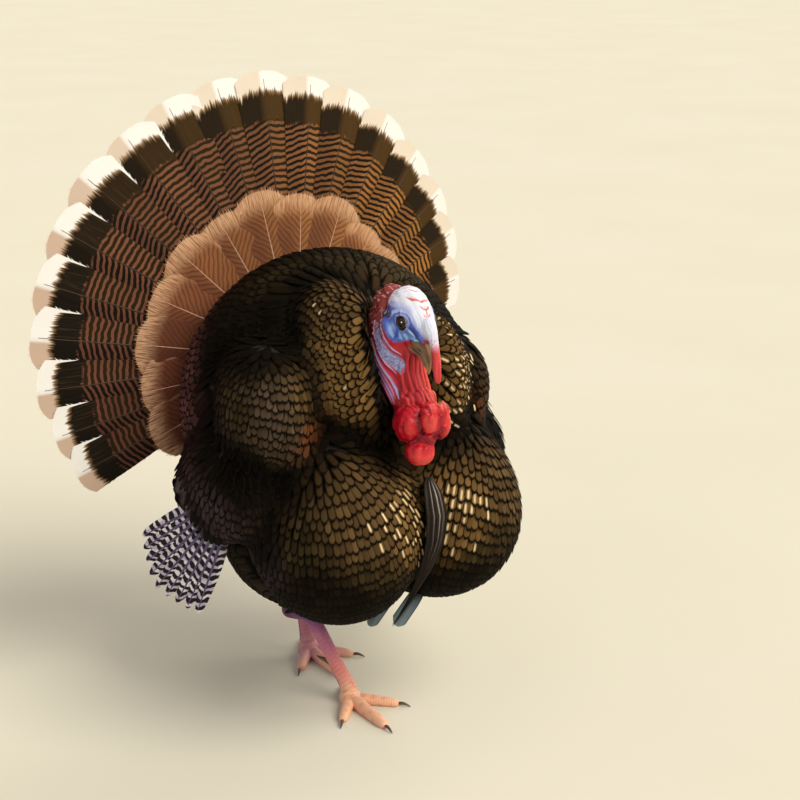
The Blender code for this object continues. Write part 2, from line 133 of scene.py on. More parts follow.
class Net:
    """A material under construction."""

    def __init__(self, name):
        self.mat = bpy.data.materials.new(name)
        self.mat.use_nodes = True
        self.tree = self.mat.node_tree
        self.tree.nodes.clear()

    def node(self, kind, settings=None, inputs=None, out=0):
        """Add a node, its settings first, and give the flow out of one of its sockets."""
        made = self.tree.nodes.new(kind)
        for key, value in (settings or {}).items():
            setattr(made, key, value)
        for key, value in (inputs or {}).items():
            if isinstance(value, Flow):
                self.tree.links.new(value.socket, made.inputs[key])
            else:
                made.inputs[key].default_value = value
        return Flow(self, made.outputs[out]) if len(made.outputs) else None

    def value(self, number):
        return self.node("ShaderNodeMath", {"operation": "ADD"}, {0: number, 1: 0.0})

    def place(self):
        return self.node("ShaderNodeTexCoord", out="Object")

    def read(self, name, out="Color"):
        return self.node("ShaderNodeAttribute", {"attribute_name": name}, out=out)

    def split(self, vector):
        made = self.node("ShaderNodeSeparateXYZ", None, {0: vector}).socket.node
        return [Flow(self, socket) for socket in made.outputs]

    def join(self, x, y, z=0.0):
        return self.node("ShaderNodeCombineXYZ", None, {0: x, 1: y, 2: z})

    def stretch(self, vector, scale):
        return self.node("ShaderNodeMapping", None, {"Vector": vector, "Scale": scale})

    def noise(self, vector, scale=1.0, detail=2.0):
        inputs = {"Vector": vector, "Scale": scale, "Detail": detail, "Roughness": 0.5}
        return self.node("ShaderNodeTexNoise", None, inputs, "Fac")

    def cells(self, vector, scale):
        return self.node("ShaderNodeTexVoronoi", None, {"Vector": vector, "Scale": scale}, "Distance")

    def wave(self, along, scale, warp=0.0):
        """Bands that follow one another as the flow along grows, 0.314 / scale metres apart."""
        settings = {"wave_type": "BANDS", "bands_direction": "Y"}
        inputs = {"Vector": self.join(0.0, along), "Scale": scale, "Distortion": warp, "Detail": 1.0}
        return self.node("ShaderNodeTexWave", settings, inputs, "Fac")

    def blend(self, share, low, high, kind="MIX"):
        """Two colours mixed; each is a triple or a flow."""
        low, high = (c if isinstance(c, Flow) else (*c, 1.0) for c in (low, high))
        settings = {"data_type": "RGBA", "blend_type": kind}
        return self.node("ShaderNodeMix", settings, {0: share, 6: low, 7: high}, 2)

    def shaded(self, colour, shade):
        return self.blend(1.0, colour, self.join(shade, shade, shade), "MULTIPLY")

    def bump(self, height, depth, strength=1.0, under=None):
        inputs = {"Height": height, "Distance": depth, "Strength": strength}
        if under is not None:
            inputs["Normal"] = under
        return self.node("ShaderNodeBump", None, inputs)

    def barbs(self, x, y, slope=0.8, scale=420, depth=0.00015, strength=0.5):
        """Fine ridges slanting out from a feather's shaft."""
        return self.bump(self.wave(y - x.size() * slope, scale), depth, strength)

    def done(self, colour, rough, normal=None, **fixed):
        """Close the material; colour and rough may vary, what is in fixed is the same all over."""
        colour = colour if isinstance(colour, Flow) else (*colour, 1.0)
        inputs = {"Base Color": colour, "Roughness": rough}
        if normal is not None:
            inputs["Normal"] = normal
        inputs.update({key.replace("_", " ").title().replace("Ior", "IOR"): v for key, v in fixed.items()})
        shader = self.node("ShaderNodeBsdfPrincipled", None, inputs)
        self.node("ShaderNodeOutputMaterial", None, {"Surface": shader})
        return self.mat


def vane(net):
    """Across (-1..1) and along (0..1) a feather, both in metres too, its number (0..1) and that place."""
    across, along, _ = net.split(net.node("ShaderNodeUVMap", {"uv_map": "Vane"}))
    lie = net.read("Lie", "Vector")
    return across * 2 - 1, along, *net.split(lie), lie


def contour_material():
    """Small body feathers: a tinted middle, a black edge, and on some a cream streak that is a painted
    highlight.
    """
    net = Net("body_feather")
    across, along, x, y, odd, lie = vane(net)
    grain = net.noise(net.stretch(lie, (900, 130, 1)))
    rim = across.size().fade(0.48, 0.82).or_more(along.fade(0.86, 0.95)).or_more(along.fade(0.42, 0.20))
    centre = net.shaded(net.read("Tint"), 0.70 + odd * 0.35 + grain * 0.35)
    # painted highlight: a cream streak on the feathers that carry a Glint
    streak = (across - 0.06).size().fade(0.34, 0.10) * along.fade(0.46, 0.62) * along.fade(0.92, 0.80)
    centre = net.blend(streak * net.read("Glint", "Fac"), centre, (0.78, 0.62, 0.36))
    colour = net.blend(rim, centre, (0.0050, 0.0036, 0.0020))
    ridges = net.barbs(x, y, scale=520, depth=0.00012)
    return net.done(colour, 0.56 + rim * 0.2 + grain * 0.1, ridges, metallic=0.05, specular_ior_level=0.03)


def rufous_material():
    """Tail coverts: chestnut with pale fringes and faint slanting bars."""
    net = Net("rufous_feather")
    across, along, x, y, _, lie = vane(net)
    bars = net.wave(y - x.size() * 0.9 + net.noise(lie, 60) * 0.010, 36, 0.8)
    tone = net.noise(lie, 24, 3)
    ground = net.shaded(net.read("Tint"), 0.75 + tone * 0.5)
    # painted shade: one vane of each covert is darker, all but its tip
    deep = across.fade(0.35, -0.5) * along.fade(0.97, 0.72)
    ground = net.blend(deep * 0.60, ground, (0.085, 0.022, 0.016))
    ground = net.blend(bars.fade(0.50, 0.80) * 0.60 * along.fade(0.94, 0.84), ground, (0.080, 0.026, 0.012))
    edge = along.fade(0.80, 0.975).or_more(across.size().fade(0.84, 1.0) * 0.7)
    hair = net.noise(net.stretch(lie, (700, 60, 1)))
    ground = net.blend(edge * hair.fade(0.25, 0.65), ground, (0.60, 0.36, 0.21))
    return net.done(ground, 0.62 + tone * 0.15, net.barbs(x, y, 0.9, strength=0.6), specular_ior_level=0.12)


def rectrix_material():
    """Main tail feathers: white tip, black-brown band, and wavy dark bars on a brown ground, with painted
    shade on one vane of each feather.
    """
    net = Net("tail_feather")
    across, along, x, y, odd, lie = vane(net)
    band_tint = net.read("Band")
    # ragged borders between the zones, and how golden this feather is, partly painted light on the fan's lit
    # side
    hair = net.noise(net.stretch(lie, (520, 30, 1))) - 0.5
    fray = net.noise(net.stretch(lie, (160, 12, 1)), detail=1) - 0.5
    level = along + hair * 0.055 + fray * 0.03 + (odd - 0.5) * 0.012
    warm = net.split(band_tint)[0].fade(0.010, 0.050)
    # barred part
    warp = net.noise(net.join(x, y * 0.5, odd * 3.7), 95, 1) * 0.0060
    rise = x.size() * (0.06 + across.fade(0.1, -0.1) * 0.42)
    bars = (net.wave(y + rise + warp + odd * 0.004, 36) - warm * 0.13).fade(0.32, 0.48)
    tone = net.noise(lie, 18, 3)
    ground = net.shaded(net.read("Tint"), 0.7 + tone * 0.6)
    # painted shade: the vane turned from the light is darker, and so are its bars and band
    ground = net.blend(across.fade(0.10, -0.45) * 0.45, ground, (0.06, 0.022, 0.012))
    bar_colour = net.blend(across.fade(0.0, -0.2), (0.020, 0.012, 0.003), (0.006, 0.004, 0.002))
    ground = net.blend(bars, ground, bar_colour)
    # dark band, fringe and tip
    strands = net.noise(net.stretch(lie, (380, 25, 1))).fade(0.50, 0.72)
    band = net.blend(strands * 0.35, band_tint, (0.07, 0.040, 0.014))
    band = net.blend(across.fade(0.0, -0.3) * 0.8, band, (0.006, 0.004, 0.002))
    lower = net.blend(level.fade(0.800, 0.820), ground, band)
    fringe = net.blend(level.fade(0.908, 0.926), lower, (0.22, 0.13, 0.06))
    # the white tip on that vane is buff: painted shade
    tip_in_shade = net.blend(warm, (0.60, 0.44, 0.34), (0.74, 0.65, 0.54))
    white = net.blend(across.fade(-0.06, -0.20), (0.86, 0.85, 0.82), tip_in_shade)
    white_from = level + across.fade(0.90, 0.99) * 0.08
    colour = net.blend(white_from.fade(0.922, 0.936), fringe, white)
    return net.done(colour, 0.65 + tone * 0.15, net.barbs(x, y), specular_ior_level=0.10)


def quill_material():
    """Wing quills: black-brown and lilac-white bars."""
    net = Net("barred_quill")
    across, along, x, y, odd, lie = vane(net)
    warp = net.noise(net.join(x, y * 0.6, odd * 5.1), 110, 1) * 0.012
    rise = x.size() * across.fade(0.1, -0.1) * 0.9
    bars = net.wave(y + rise + warp + odd * 0.02, 24).fade(0.34, 0.46)
    pale = net.blend(net.noise(lie, 90).fade(0.4, 0.6), (0.78, 0.72, 0.76), (0.46, 0.40, 0.52))
    colour = net.blend(bars, pale, (0.013, 0.008, 0.010))
    colour = net.blend(along.fade(0.40, 0.22) * 0.9, colour, (0.02, 0.014, 0.02))
    return net.done(colour, 0.6, net.barbs(x, y), specular_ior_level=0.12)


def plain_vane_material(name, rough):
    """Feathers of one tone with a dark rim, such as the secondaries and the grey ones under the belly."""
    net = Net(name)
    across, _, x, y, _, lie = vane(net)
    ground = net.shaded(net.read("Tint"), 0.7 + net.noise(net.stretch(lie, (300, 40, 1))) * 0.6)
    colour = net.blend(across.size().fade(0.80, 0.96) * 0.75, ground, (0.010, 0.007, 0.008))
    return net.done(colour, rough, net.barbs(x, y), specular_ior_level=0.08)


def shaft_material(name, colour):
    net = Net(name)
    tone = net.noise(net.place(), 220)
    dark = tuple(0.6 * c for c in colour)
    return net.done(net.blend(tone, dark, colour), 0.4 + tone * 0.1, specular_ior_level=0.3)


def skin_material():
    """Bare skin and the dark skin under the plumage, painted point by point, with plates on the legs."""
    net = Net("skin")
    place = net.place()
    fine, soft, pores = net.noise(place, 900, 3), net.noise(place, 160), net.cells(place, 1300)
    colour = net.shaded(net.read("Paint"), 0.82 + fine * 0.22 + soft * 0.16)
    # two rows of plates in front of shanks and on toes, small scales round the back
    across, along, front = net.split(net.read("Scutes", "Vector"))
    plates = net.wave(along + across.fade(-0.0002, 0.0002) * 0.0018, 87).fade(0.16, 0.02)
    plates = plates.or_more(across.size().fade(0.0006, 0.0002) * 0.8)
    scales = net.cells(place, 420).fade(0.40, 0.62) * front.size().fade(0.1, 0.3)
    ahead = front.fade(0.0, 0.4)
    grooves = scales * (1 - ahead) + plates * ahead
    colour = net.blend(grooves * 0.22, colour, (0.26, 0.075, 0.070))
    normal = net.bump(pores * 0.7 + fine * 0.6, 0.00035, 0.45)
    normal = net.bump(1 - grooves, 0.0006, 0.6, under=normal)
    rough = net.split(net.read("Finish", "Vector"))[0] + soft * 0.12
    return net.done(colour, rough, normal, subsurface_weight=0.12, subsurface_radius=(0.004, 0.0012, 0.0008),
                    subsurface_scale=1.0, specular_ior_level=0.32)


def horn_material(name, dark, pale, rough):
    """Bill, claws and spurs: streaked along their length."""
    net = Net(name)
    streak = net.noise(net.stretch(net.place(), (260, 60, 60)), detail=3)
    colour = net.blend(1.0, net.read("Paint"), net.blend(streak, dark, pale), "MULTIPLY")
    return net.done(colour, rough + streak * 0.15, net.bump(streak, 0.0003, 0.4), specular_ior_level=0.55)


def eye_material():
    net = Net("eye")
    colour = net.shaded(net.read("Paint"), 0.75 + net.noise(net.place(), 2500) * 0.5)
    return net.done(colour, 0.06, specular_ior_level=0.30)


def bristle_material():
    net = Net("beard_bristle")
    streak = net.noise(net.stretch(net.place(), (900, 900, 60)))
    colour = net.shaded(net.read("Tint"), 0.6 + streak * 0.9)
    return net.done(colour, 0.48 + streak * 0.15, specular_ior_level=0.12)


# --- meshes ---
def write_mesh(name, points, loops, starts, materials, slots=None):
    """A mesh object from flat arrays, smooth shaded."""
    mesh = bpy.data.meshes.new(name)
    mesh.vertices.add(len(points))
    mesh.vertices.foreach_set("co", points.astype(np.float32).ravel())
    mesh.loops.add(len(loops))
    mesh.loops.foreach_set("vertex_index", loops.astype(np.int32))
    mesh.polygons.add(len(starts))
    mesh.polygons.foreach_set("loop_start", starts.astype(np.int32))
    mesh.polygons.foreach_set("use_smooth", np.ones(len(starts), bool))
    for mat in materials:
        mesh.materials.append(mat)
    if slots is not None:
        mesh.polygons.foreach_set("material_index", slots.astype(np.int32))
    mesh.update(calc_edges=True)
    return new_object(name, mesh)


def new_object(name, mesh):
    piece = bpy.data.objects.new(name, mesh)
    bpy.context.scene.collection.objects.link(piece)
    return piece


def put_attribute(mesh, name, kind, key, values):
    layer = mesh.attributes.new(name, kind, "POINT")
    layer.data.foreach_set(key, np.ascontiguousarray(values, np.float32).ravel())


def put_map(mesh, name, corners):
    layer = mesh.uv_layers.new(name=name, do_init=False)
    layer.uv.foreach_set("vector", np.ascontiguousarray(corners, np.float32).ravel())


def with_alpha(colours):
    return np.concatenate([colours, np.ones((len(colours), 1))], 1)


def places(mesh):
    found = np.empty(len(mesh.vertices) * 3, np.float32)
    mesh.vertices.foreach_get("co", found)
    return found.reshape(-1, 3).astype(float)


def bearings(mesh):
    found = np.empty(len(mesh.vertices) * 3, np.float32)
    mesh.vertices.foreach_get("normal", found)
    return found.reshape(-1, 3).astype(float)


def put_places(mesh, points):
    mesh.vertices.foreach_set("co", points.astype(np.float32).ravel())
    mesh.update()


def unit(v):
    return v / np.maximum(np.linalg.norm(v, axis=-1, keepdims=True), 1e-12)


def ease(x, low, high):
    """0 at low and 1 at high, smooth between; low may be the larger one."""
    t = np.clip((x - low) / (high - low), 0, 1)
    return t * t * (3 - 2 * t)


def settled(piece):
    """The piece's mesh with its modifiers applied."""
    graph = bpy.context.evaluated_depsgraph_get()
    graph.update()
    mesh = bpy.data.meshes.new_from_object(piece.evaluated_get(graph), depsgraph=graph)
    piece.modifiers.clear()
    old = piece.data
    piece.data = mesh
    bpy.data.meshes.remove(old)
    return piece


def cad_copy(names):
    """The CAD nodes' surfaces, merged, in one bmesh."""
    bm = bmesh.new()
    for name in names:
        bm.from_mesh(NODES[name].data)
    bmesh.ops.remove_doubles(bm, verts=bm.verts, dist=0.00001)
    return bm


def tree_of(names):
    bm = cad_copy(names)
    tree = BVHTree.FromBMesh(bm)
    bm.free()
    return tree


def blob(bm, centre, radius, squash=(1, 1, 1)):
    """Add a small round lump."""
    made = bmesh.ops.create_icosphere(bm, subdivisions=2, radius=radius)["verts"]
    bmesh.ops.scale(bm, vec=squash, verts=made)
    bmesh.ops.translate(bm, vec=centre, verts=made)


def at_head(x, y, z):
    """A place given in head millimetres."""
    return EYES + Vector((x, y, z)) * HEAD_MM


def in_head(points):
    """Places told in head millimetres."""
    return (points - np.array(EYES)) / HEAD_MM


# --- the skin ---
# All head places are (across, back, up) from midway between the eyes, in head millimetres: those of a bird
# of average size, which HEAD_MM turns into metres.
# rounded lumps: place, radius, squash; the last is the ball that hangs lowest
LUMPS = (
    ((-10.5, -39.5, -101), 10, (1, 0.85, 1.75)), ((9, -37, -100), 8, (1, 0.9, 1.9)),
    ((-25, -23, -112), 9.5, (1, 1, 1.35)), ((-11, -1, -94.5), 5, (1, 1, 1.1)),
    ((-14, -47.8, -98.5), 3, (1, 0.8, 1.5)), ((16, -5, -93), 4.6, (1, 1, 1.1)),
    ((-23, -3, -101), 5.2, (1, 1, 1.1)), ((24, -12, -102), 5.2, (1, 1, 1.1)),
    ((2, -12, -99), 6, (1, 1, 1.1)), ((-4, -10, -88), 8.5, (1, 1, 1.4)), ((6, -10, -88), 8, (1, 1, 1.4)),
    ((-13.5, -6, -90), 7.5, (1, 1, 1.4)), ((14, -6, -90), 7.2, (1, 1, 1.4)),
    ((-12, -24, -142.5), 13.5, (1, 1, 1)),
)
# the snood's centre line with its radius
SNOOD = (
    ((0, -22.5, 0), 8.2), ((0, -28, -8), 6.8), ((0.5, -31.5, -17), 5.4), ((1, -34.5, -29), 4.6),
    ((1.2, -36.8, -42), 4.7), ((1, -38.2, -54), 4.3), ((1, -38.6, -61.5), 3.3),
)
# raised cords of skin down the throat: radius at the ends and middle, then the path
CORDS = (
    (2.4, 4.2, ((-10, 6, -38), (-9.5, 5, -56), (-8, -2, -75), (-15, -12, -95))),
    (2.4, 4, ((-3, 2, -42), (-3.5, 1, -60), (-2, -6, -80), (-6, -25, -93))),
    (2.4, 4, ((3.5, 2, -42), (4, 0.5, -60), (5, -7, -80), (6, -24, -93))),
    (2.4, 4.2, ((10, 6, -38), (10.5, 4.5, -56), (11, -2, -75), (17, -12, -95))),
    (2, 3.2, ((-15.5, 8, -50), (-15, 6, -66), (-16, 1, -83), (-22, -6, -98))),
    (2, 3.2, ((15.5, 8, -50), (15, 6, -66), (17, 1, -83), (22, -6, -98))),
)
# the same on both sides: over the base of the bill, brow, corner of the mouth, and cheek
BOTH = (
    (2, 3.4, ((11, -12, -8), (7.5, -17, -14), (4, -20, -21))),
    (1.2, 2.2, ((15, 13, 13), (16.5, 3, 11), (15, -8, 5), (11, -16, -2))),
    (1, 2, ((16, 12, -13), (14, 5, -19), (11, -3, -20))),
    (1, 1.8, ((19, 19, -4), (17, 15, -16), (13, 7, -24))),
)
LID = {"ring": 8.3, "thick": 1.3, "out": 3.0, "squash": (1, 1.08, 0.96), "slant": 32}
EYEBALL = {"radius": 0.0094, "inward": 0.0022}


def beaded_cord(bm, path, ends, waist):
    """A smooth rope of skin from balls that stand half a waist apart."""
    path = [at_head(*p) for p in path]
    for i, (a, b) in enumerate(zip(path[:-1], path[1:])):
        steps = max(2, math.ceil((b - a).length / (waist * 0.5 * MM)))
        for k in range(steps):
            t = (i + k / steps) / (len(path) - 1)
            radius = ends + (waist - ends) * math.sin(math.pi * t) ** 0.7
            blob(bm, a.lerp(b, k / steps), radius * HEAD_MM)


def head_extras(bm):
    """Wattle lobes, snood and skin folds, before the surface is melted together."""
    for centre, radius, squash in LUMPS:
        blob(bm, at_head(*centre), radius * HEAD_MM, squash)
    for (a, ra), (b, rb) in zip(SNOOD[:-1], SNOOD[1:]):
        for t in (0, 0.25, 0.5, 0.75):
            blob(bm, at_head(*a).lerp(at_head(*b), t), (ra + (rb - ra) * t) * HEAD_MM)
    for ends, waist, path in CORDS:
        beaded_cord(bm, path, ends, waist)
    for ends, waist, path in BOTH:
        for side in (-1, 1):
            beaded_cord(bm, [(side * x, y, z) for x, y, z in path], ends, waist)


def eyelids(bm):
    """A soft ring round each eye, lower than it is wide."""
    for tag, side in SIDES.items():
        made = bmesh.ops.create_circle(bm, segments=10, radius=LID["thick"] * HEAD_MM)["verts"]
        bmesh.ops.rotate(bm, cent=(0, 0, 0), verts=made, matrix=about_x(90))
        bmesh.ops.translate(bm, vec=(0, LID["ring"] * HEAD_MM, 0), verts=made)
        edges = list({e for v in made for e in v.link_edges})
        bmesh.ops.spin(bm, geom=made + edges, cent=(0, 0, 0), axis=(1, 0, 0), dvec=(0, 0, 0),
                       angle=math.tau, steps=28, use_merge=True, use_duplicate=False)
        ring = connected(made)
        bmesh.ops.scale(bm, vec=LID["squash"], verts=ring)
        bmesh.ops.rotate(bm, cent=(0, 0, 0), verts=ring, matrix=about_x(LID["slant"]))
        out = Vector((side * LID["out"] * HEAD_MM, 0, 0))
        bmesh.ops.translate(bm, vec=middle(f"eye_{tag}") + out, verts=ring)
        bmesh.ops.recalc_face_normals(bm, faces=list({f for v in ring for f in v.link_faces}))


def connected(some):
    """All vertices joined to these."""
    found, stack = set(some), list(some)
    while stack:
        for edge in stack.pop().link_edges:
            for vert in edge.verts:
                if vert not in found:
                    found.add(vert)
                    stack.append(vert)
    return list(found)


def about_x(degrees):
    return Matrix.Rotation(math.radians(degrees), 3, "X")


def fused(name, bm, cell, swell, smoothing, inset, rounding=0):
    """Closed shells melted into one surface of even cells."""
    mesh = bpy.data.meshes.new(name)
    bm.to_mesh(mesh)
    bm.free()
    piece = new_object(name, mesh)
    if rounding:
        mod = piece.modifiers.new("round", "SUBSURF")
        mod.levels = mod.render_levels = rounding
    mod = piece.modifiers.new("swell", "DISPLACE")
    mod.strength, mod.mid_level = swell, 0.0
    mod = piece.modifiers.new("melt", "REMESH")
    mod.mode, mod.voxel_size = "VOXEL", cell
    mod = piece.modifiers.new("soften", "SMOOTH")
    mod.factor, mod.iterations = 0.5, smoothing
    mod = piece.modifiers.new("inset", "DISPLACE")
    mod.strength, mod.mid_level = -inset, 0.0
    return settled(piece)


def along_path(points, path, flat=None):
    """Each point's distance to a broken line, and how far along it that is, 0 to 1.

    flat names the axes that count, so a line drawn on the side of the head holds for both sides.
    """
    keep = flat or (0, 1, 2)
    p = points[:, keep]
    path = np.array(path, float)
    steps = np.linalg.norm(np.diff(path, axis=0), axis=1)
    total, best, where, gone = steps.sum(), np.full(len(p), 1e9), np.zeros(len(p)), 0.0
    for a, b, step in zip(path[:-1], path[1:], steps):
        t = np.clip((p - a) @ (b - a) / step**2, 0, 1)
        d = np.linalg.norm(p - a - t[:, None] * (b - a), axis=1)
        nearer = d < best
        best = np.where(nearer, d, best)
        where = np.where(nearer, (gone + t * step) / total, where)
        gone += step
    return best, where


def stroke(points, path, width, flat=None):
    """1 on the line, fading to 0 at this distance; thinner towards both ends."""
    d, t = along_path(points, path, flat)
    thin = np.clip(1.35 * np.sin(np.pi * np.clip(t, 0.04, 0.96)) ** 0.5, 0, 1)
    return ease(d, width * thin, width * 0.25 * thin)


YZ = (1, 2)
XY = (0, 1)


def inside(points, corners, soft):
    """1 within a flat outline and 0 outside, fading over the width soft; points are pairs."""
    corners = np.array(corners, float)
    ring = np.concatenate([corners, corners[:1]])
    away, _ = along_path(points, ring, (0, 1))
    hits = np.zeros(len(points), int)
    for (ax, ay), (bx, by) in zip(ring[:-1], ring[1:]):
        if ay == by:
            continue
        crosses = (ay > points[:, 1]) != (by > points[:, 1])
        at = ax + (points[:, 1] - ay) / (by - ay) * (bx - ax)
        hits += crosses & (points[:, 0] < at)
    signed = np.where(hits % 2 == 1, away, -away)
    return ease(signed, -soft / 2, soft / 2)


# outlines on the side of the head, (back, up)
BLUE_FACE = (
    (19, 19), (8, 18.5), (-5, 16.5), (-14, 10), (-22, 0), (-25, -12), (-21.5, -26), (-14, -21), (-8, -18),
    (2, -21.5), (10, -24), (18, -20.5), (23, -14), (27, -6), (28.5, 3), (27, 10), (23.5, 15),
)
BEADED_BAND = (
    (30, -5), (34, -2), (40, -12), (39.5, -24), (33, -37), (24, -48), (13, -56), (5, -60), (4.5, -48),
    (11, -40), (20, -34), (27, -22),
)
# raised lines on the side of the head and neck, (back, up): path, width, height, colour
SIDE_LINES = (
    (((33, 6), (32, -8), (24, -22), (15, -33), (8, -38)), 1.3, 0.8, (0.5, 0.56, 0.88)),
    (((43, -4), (42, -20), (35, -36), (24, -50), (12, -60)), 1.3, 0.8, (0.6, 0.5, 0.8)),
    (((46, -26), (40, -42), (30, -56), (19, -66.5), (11.5, -78), (9, -89)), 2.4, 1.5, (0.46, 0.46, 0.82)),
    (((44, -42), (36, -56), (25, -69), (17, -79.5), (13, -90)), 1.8, 1.5, (0.66, 0.22, 0.42)),
    (((42, -56), (33, -68), (24, -79), (18, -89), (16.5, -97)), 2.2, 1.4, (0.44, 0.38, 0.78)),
    (((39, -69), (29, -80), (23, -90), (21.5, -98)), 1.6, 1.2, (0.56, 0.2, 0.44)),
)
# furrows between them, painted crimson
SIDE_FURROWS = (
    ((37, 4), (36.5, -8), (28, -26), (18, -36), (8, -43)),
    ((43, -27), (37, -42), (28, -53), (17, -62), (9.5, -72.5), (6.5, -85)),
    ((45, -36), (38, -50), (28, -62), (19, -72.5), (14, -85)),
    ((43, -50), (34.5, -62), (24.5, -74), (18, -85), (16, -94)),
    ((40, -63), (31, -74), (24, -84.5), (20.5, -95)),
)
# crown wrinkles, (across, back): red furrows in the white skin
CROWN_LINES = (
    (1.9, ((-12.5, 3), (-8, -4), (-1, -9.5), (6, -8), (12, -3))),
    (1.3, ((-6, 8), (0, 3), (7, 3), (11, 6))),
    (1.4, ((-5.5, -12), (-2, -15), (3, -15.5), (8, -12))),
    (1.1, ((1.2, -15.5), (0, -20))),
    (1, ((-11, 16), (-4, 12), (4, 12.5), (11, 16))),
    (1, ((-5, -18.5), (0, -21.5), (5, -18.5))),
)


def off_middle(x):
    """1 on the sides of the head, 0 along its middle."""
    return ease(np.abs(x), 4.5, 8)


def forehead_ridges(x, y):
    return np.sin(x * 2.9 + 3 * np.sin(y * 0.4))


def head_relief(points):
    """How far the bare skin stands out at each place; places and result are in head millimetres."""
    x, y, z = points.T
    out = np.zeros(len(points))
    side = off_middle(x)
    for path, width, height, _ in SIDE_LINES:
        out += height * stroke(points, path, width * 1.6, YZ) * side
    for path in SIDE_FURROWS:
        out -= 0.8 * stroke(points, path, 2, YZ) * side
    on_top = ease(z, 2, 8) * ease(y, 30, 22)
    for width, path in CROWN_LINES:
        out -= 0.8 * stroke(points, path, width * 1.2, XY) * on_top
    # wrinkles of the forehead running down to the snood, and two creases under the eye
    out += 0.22 * forehead_ridges(x, y) * ease(y, -4, -12) * ease(z, -12, -4)
    out -= 0.8 * stroke(points, ((5, -9.5), (6.5, -15), (5, -20)), 1.4, YZ) * side
    out -= 0.7 * stroke(points, ((-2, -9.5), (-8, -10), (-14, -15)), 1.4, YZ) * side
    # ear
    ear = np.hypot(y - 21.5, z - 4.5)
    out += 0.6 * ease(ear, 5.2, 3.6) - 1.3 * ease(ear, 3.4, 1.5)
    # ripples of the nape and rings of the snood
    nape = ease(y, 32, 40) * ease(z, -85, -60)
    out += 0.5 * np.sin(z + 0.27 * np.abs(x) + 2 * np.sin(y * 0.3)) * nape
    snood = ease(y, -30, -33) * ease(z, -12, -20)
    out += 0.22 * np.sin(z * 2.1 + 2 * np.sin(x * 0.5)) * snood
    # folds down the throat, and soft lumps of the wattle
    out += 0.9 * throat_folds(points) * throat_share(points)
    lumps = np.sin(x * 0.42 + 1) * np.sin(z * 0.3 + 2) * np.sin(y * 0.38)
    return out + 0.5 * lumps * ease(z, -80, -95) * ease(y, 30, 10)


def throat_share(points):
    """1 on the bare throat between the bill and the wattle."""
    _, y, z = points.T
    return ease(y, 16, 8) * ease(z, -30, -42) * ease(z, -104, -90)


def throat_folds(points):
    """-1 in the furrows and 1 on the ridges of the folds down the throat."""
    x, y, z = points.T
    lines = np.sin(x * 1.15 + 1.4 * np.sin(z * 0.095 + 1) + 0.04 * y)
    return lines * (0.75 + 0.25 * np.sin(z * 0.21 + x * 0.3))


BEADS = 200


def beads(points, limit):
    """Small beads scattered over the neck: height at each point."""
    seeds = points[limit > 0.3]
    chosen = seeds[rng.permutation(len(seeds))[:BEADS]]
    sizes = rng.uniform(1.1, 2.3, len(chosen))
    tall = np.zeros(len(points))
    tree = point_tree(points)
    for centre, size in zip(chosen, sizes):
        for _, index, away in tree.find_range(centre, size):
            tall[index] = max(tall[index], 0.42 * size * (1 - (away / size) ** 2))
    return tall * limit


def point_tree(points):
    tree = KDTree(len(points))
    for i, p in enumerate(points):
        tree.insert(p, i)
    tree.balance()
    return tree


def neck_side(points):
    """The lavender beaded band down each side of the neck, 0 to 1."""
    return inside(points[:, 1:], BEADED_BAND, 2.5) * (np.abs(points[:, 0]) > 5)


def build_head_skin():
    bm = cad_copy(["head", "neck", "caruncles"])
    for _ in range(2):
        bmesh.ops.subdivide_edges(bm, edges=bm.edges, cuts=1, use_grid_fill=True, smooth=1.0)
    head_extras(bm)
    eyelids(bm)
    piece = fused("head_skin", bm, SKIN_CELL["head"], 0.0007, 4, 0.0005)
    mesh = piece.data
    local = in_head(places(mesh))
    lift = head_relief(local)
    nape = ease(local[:, 1], 30, 38) * ease(local[:, 2], -100, -80)
    lift += beads(local, np.maximum(neck_side(local), nape * 0.9))
    put_places(mesh, places(mesh) + bearings(mesh) * (lift * HEAD_MM)[:, None])
    return piece


def hocks(bm):
    """Skin from the upper end of each shank up into the thigh."""
    for tag in SIDES:
        shank = np.array([v.co for v in NODES[f"shank_{tag}"].data.vertices])
        top = Vector(shank[shank[:, 2] > shank[:, 2].max() - 0.010].mean(0))
        thigh = middle(f"thigh_{tag}")
        steps = math.ceil((thigh - top).length / 0.005)
        for k in range(steps + 1):
            blob(bm, top.lerp(thigh, k / steps), 0.0125)


def drop_scraps(mesh):
    """Keep only what hangs together with the widest part of the body."""
    bm = bmesh.new()
    bm.from_mesh(mesh)
    body = set(connected([max(bm.verts, key=lambda v: v.co.x)]))
    bmesh.ops.delete(bm, geom=[v for v in bm.verts if v not in body], context="VERTS")
    bm.to_mesh(mesh)
    bm.free()


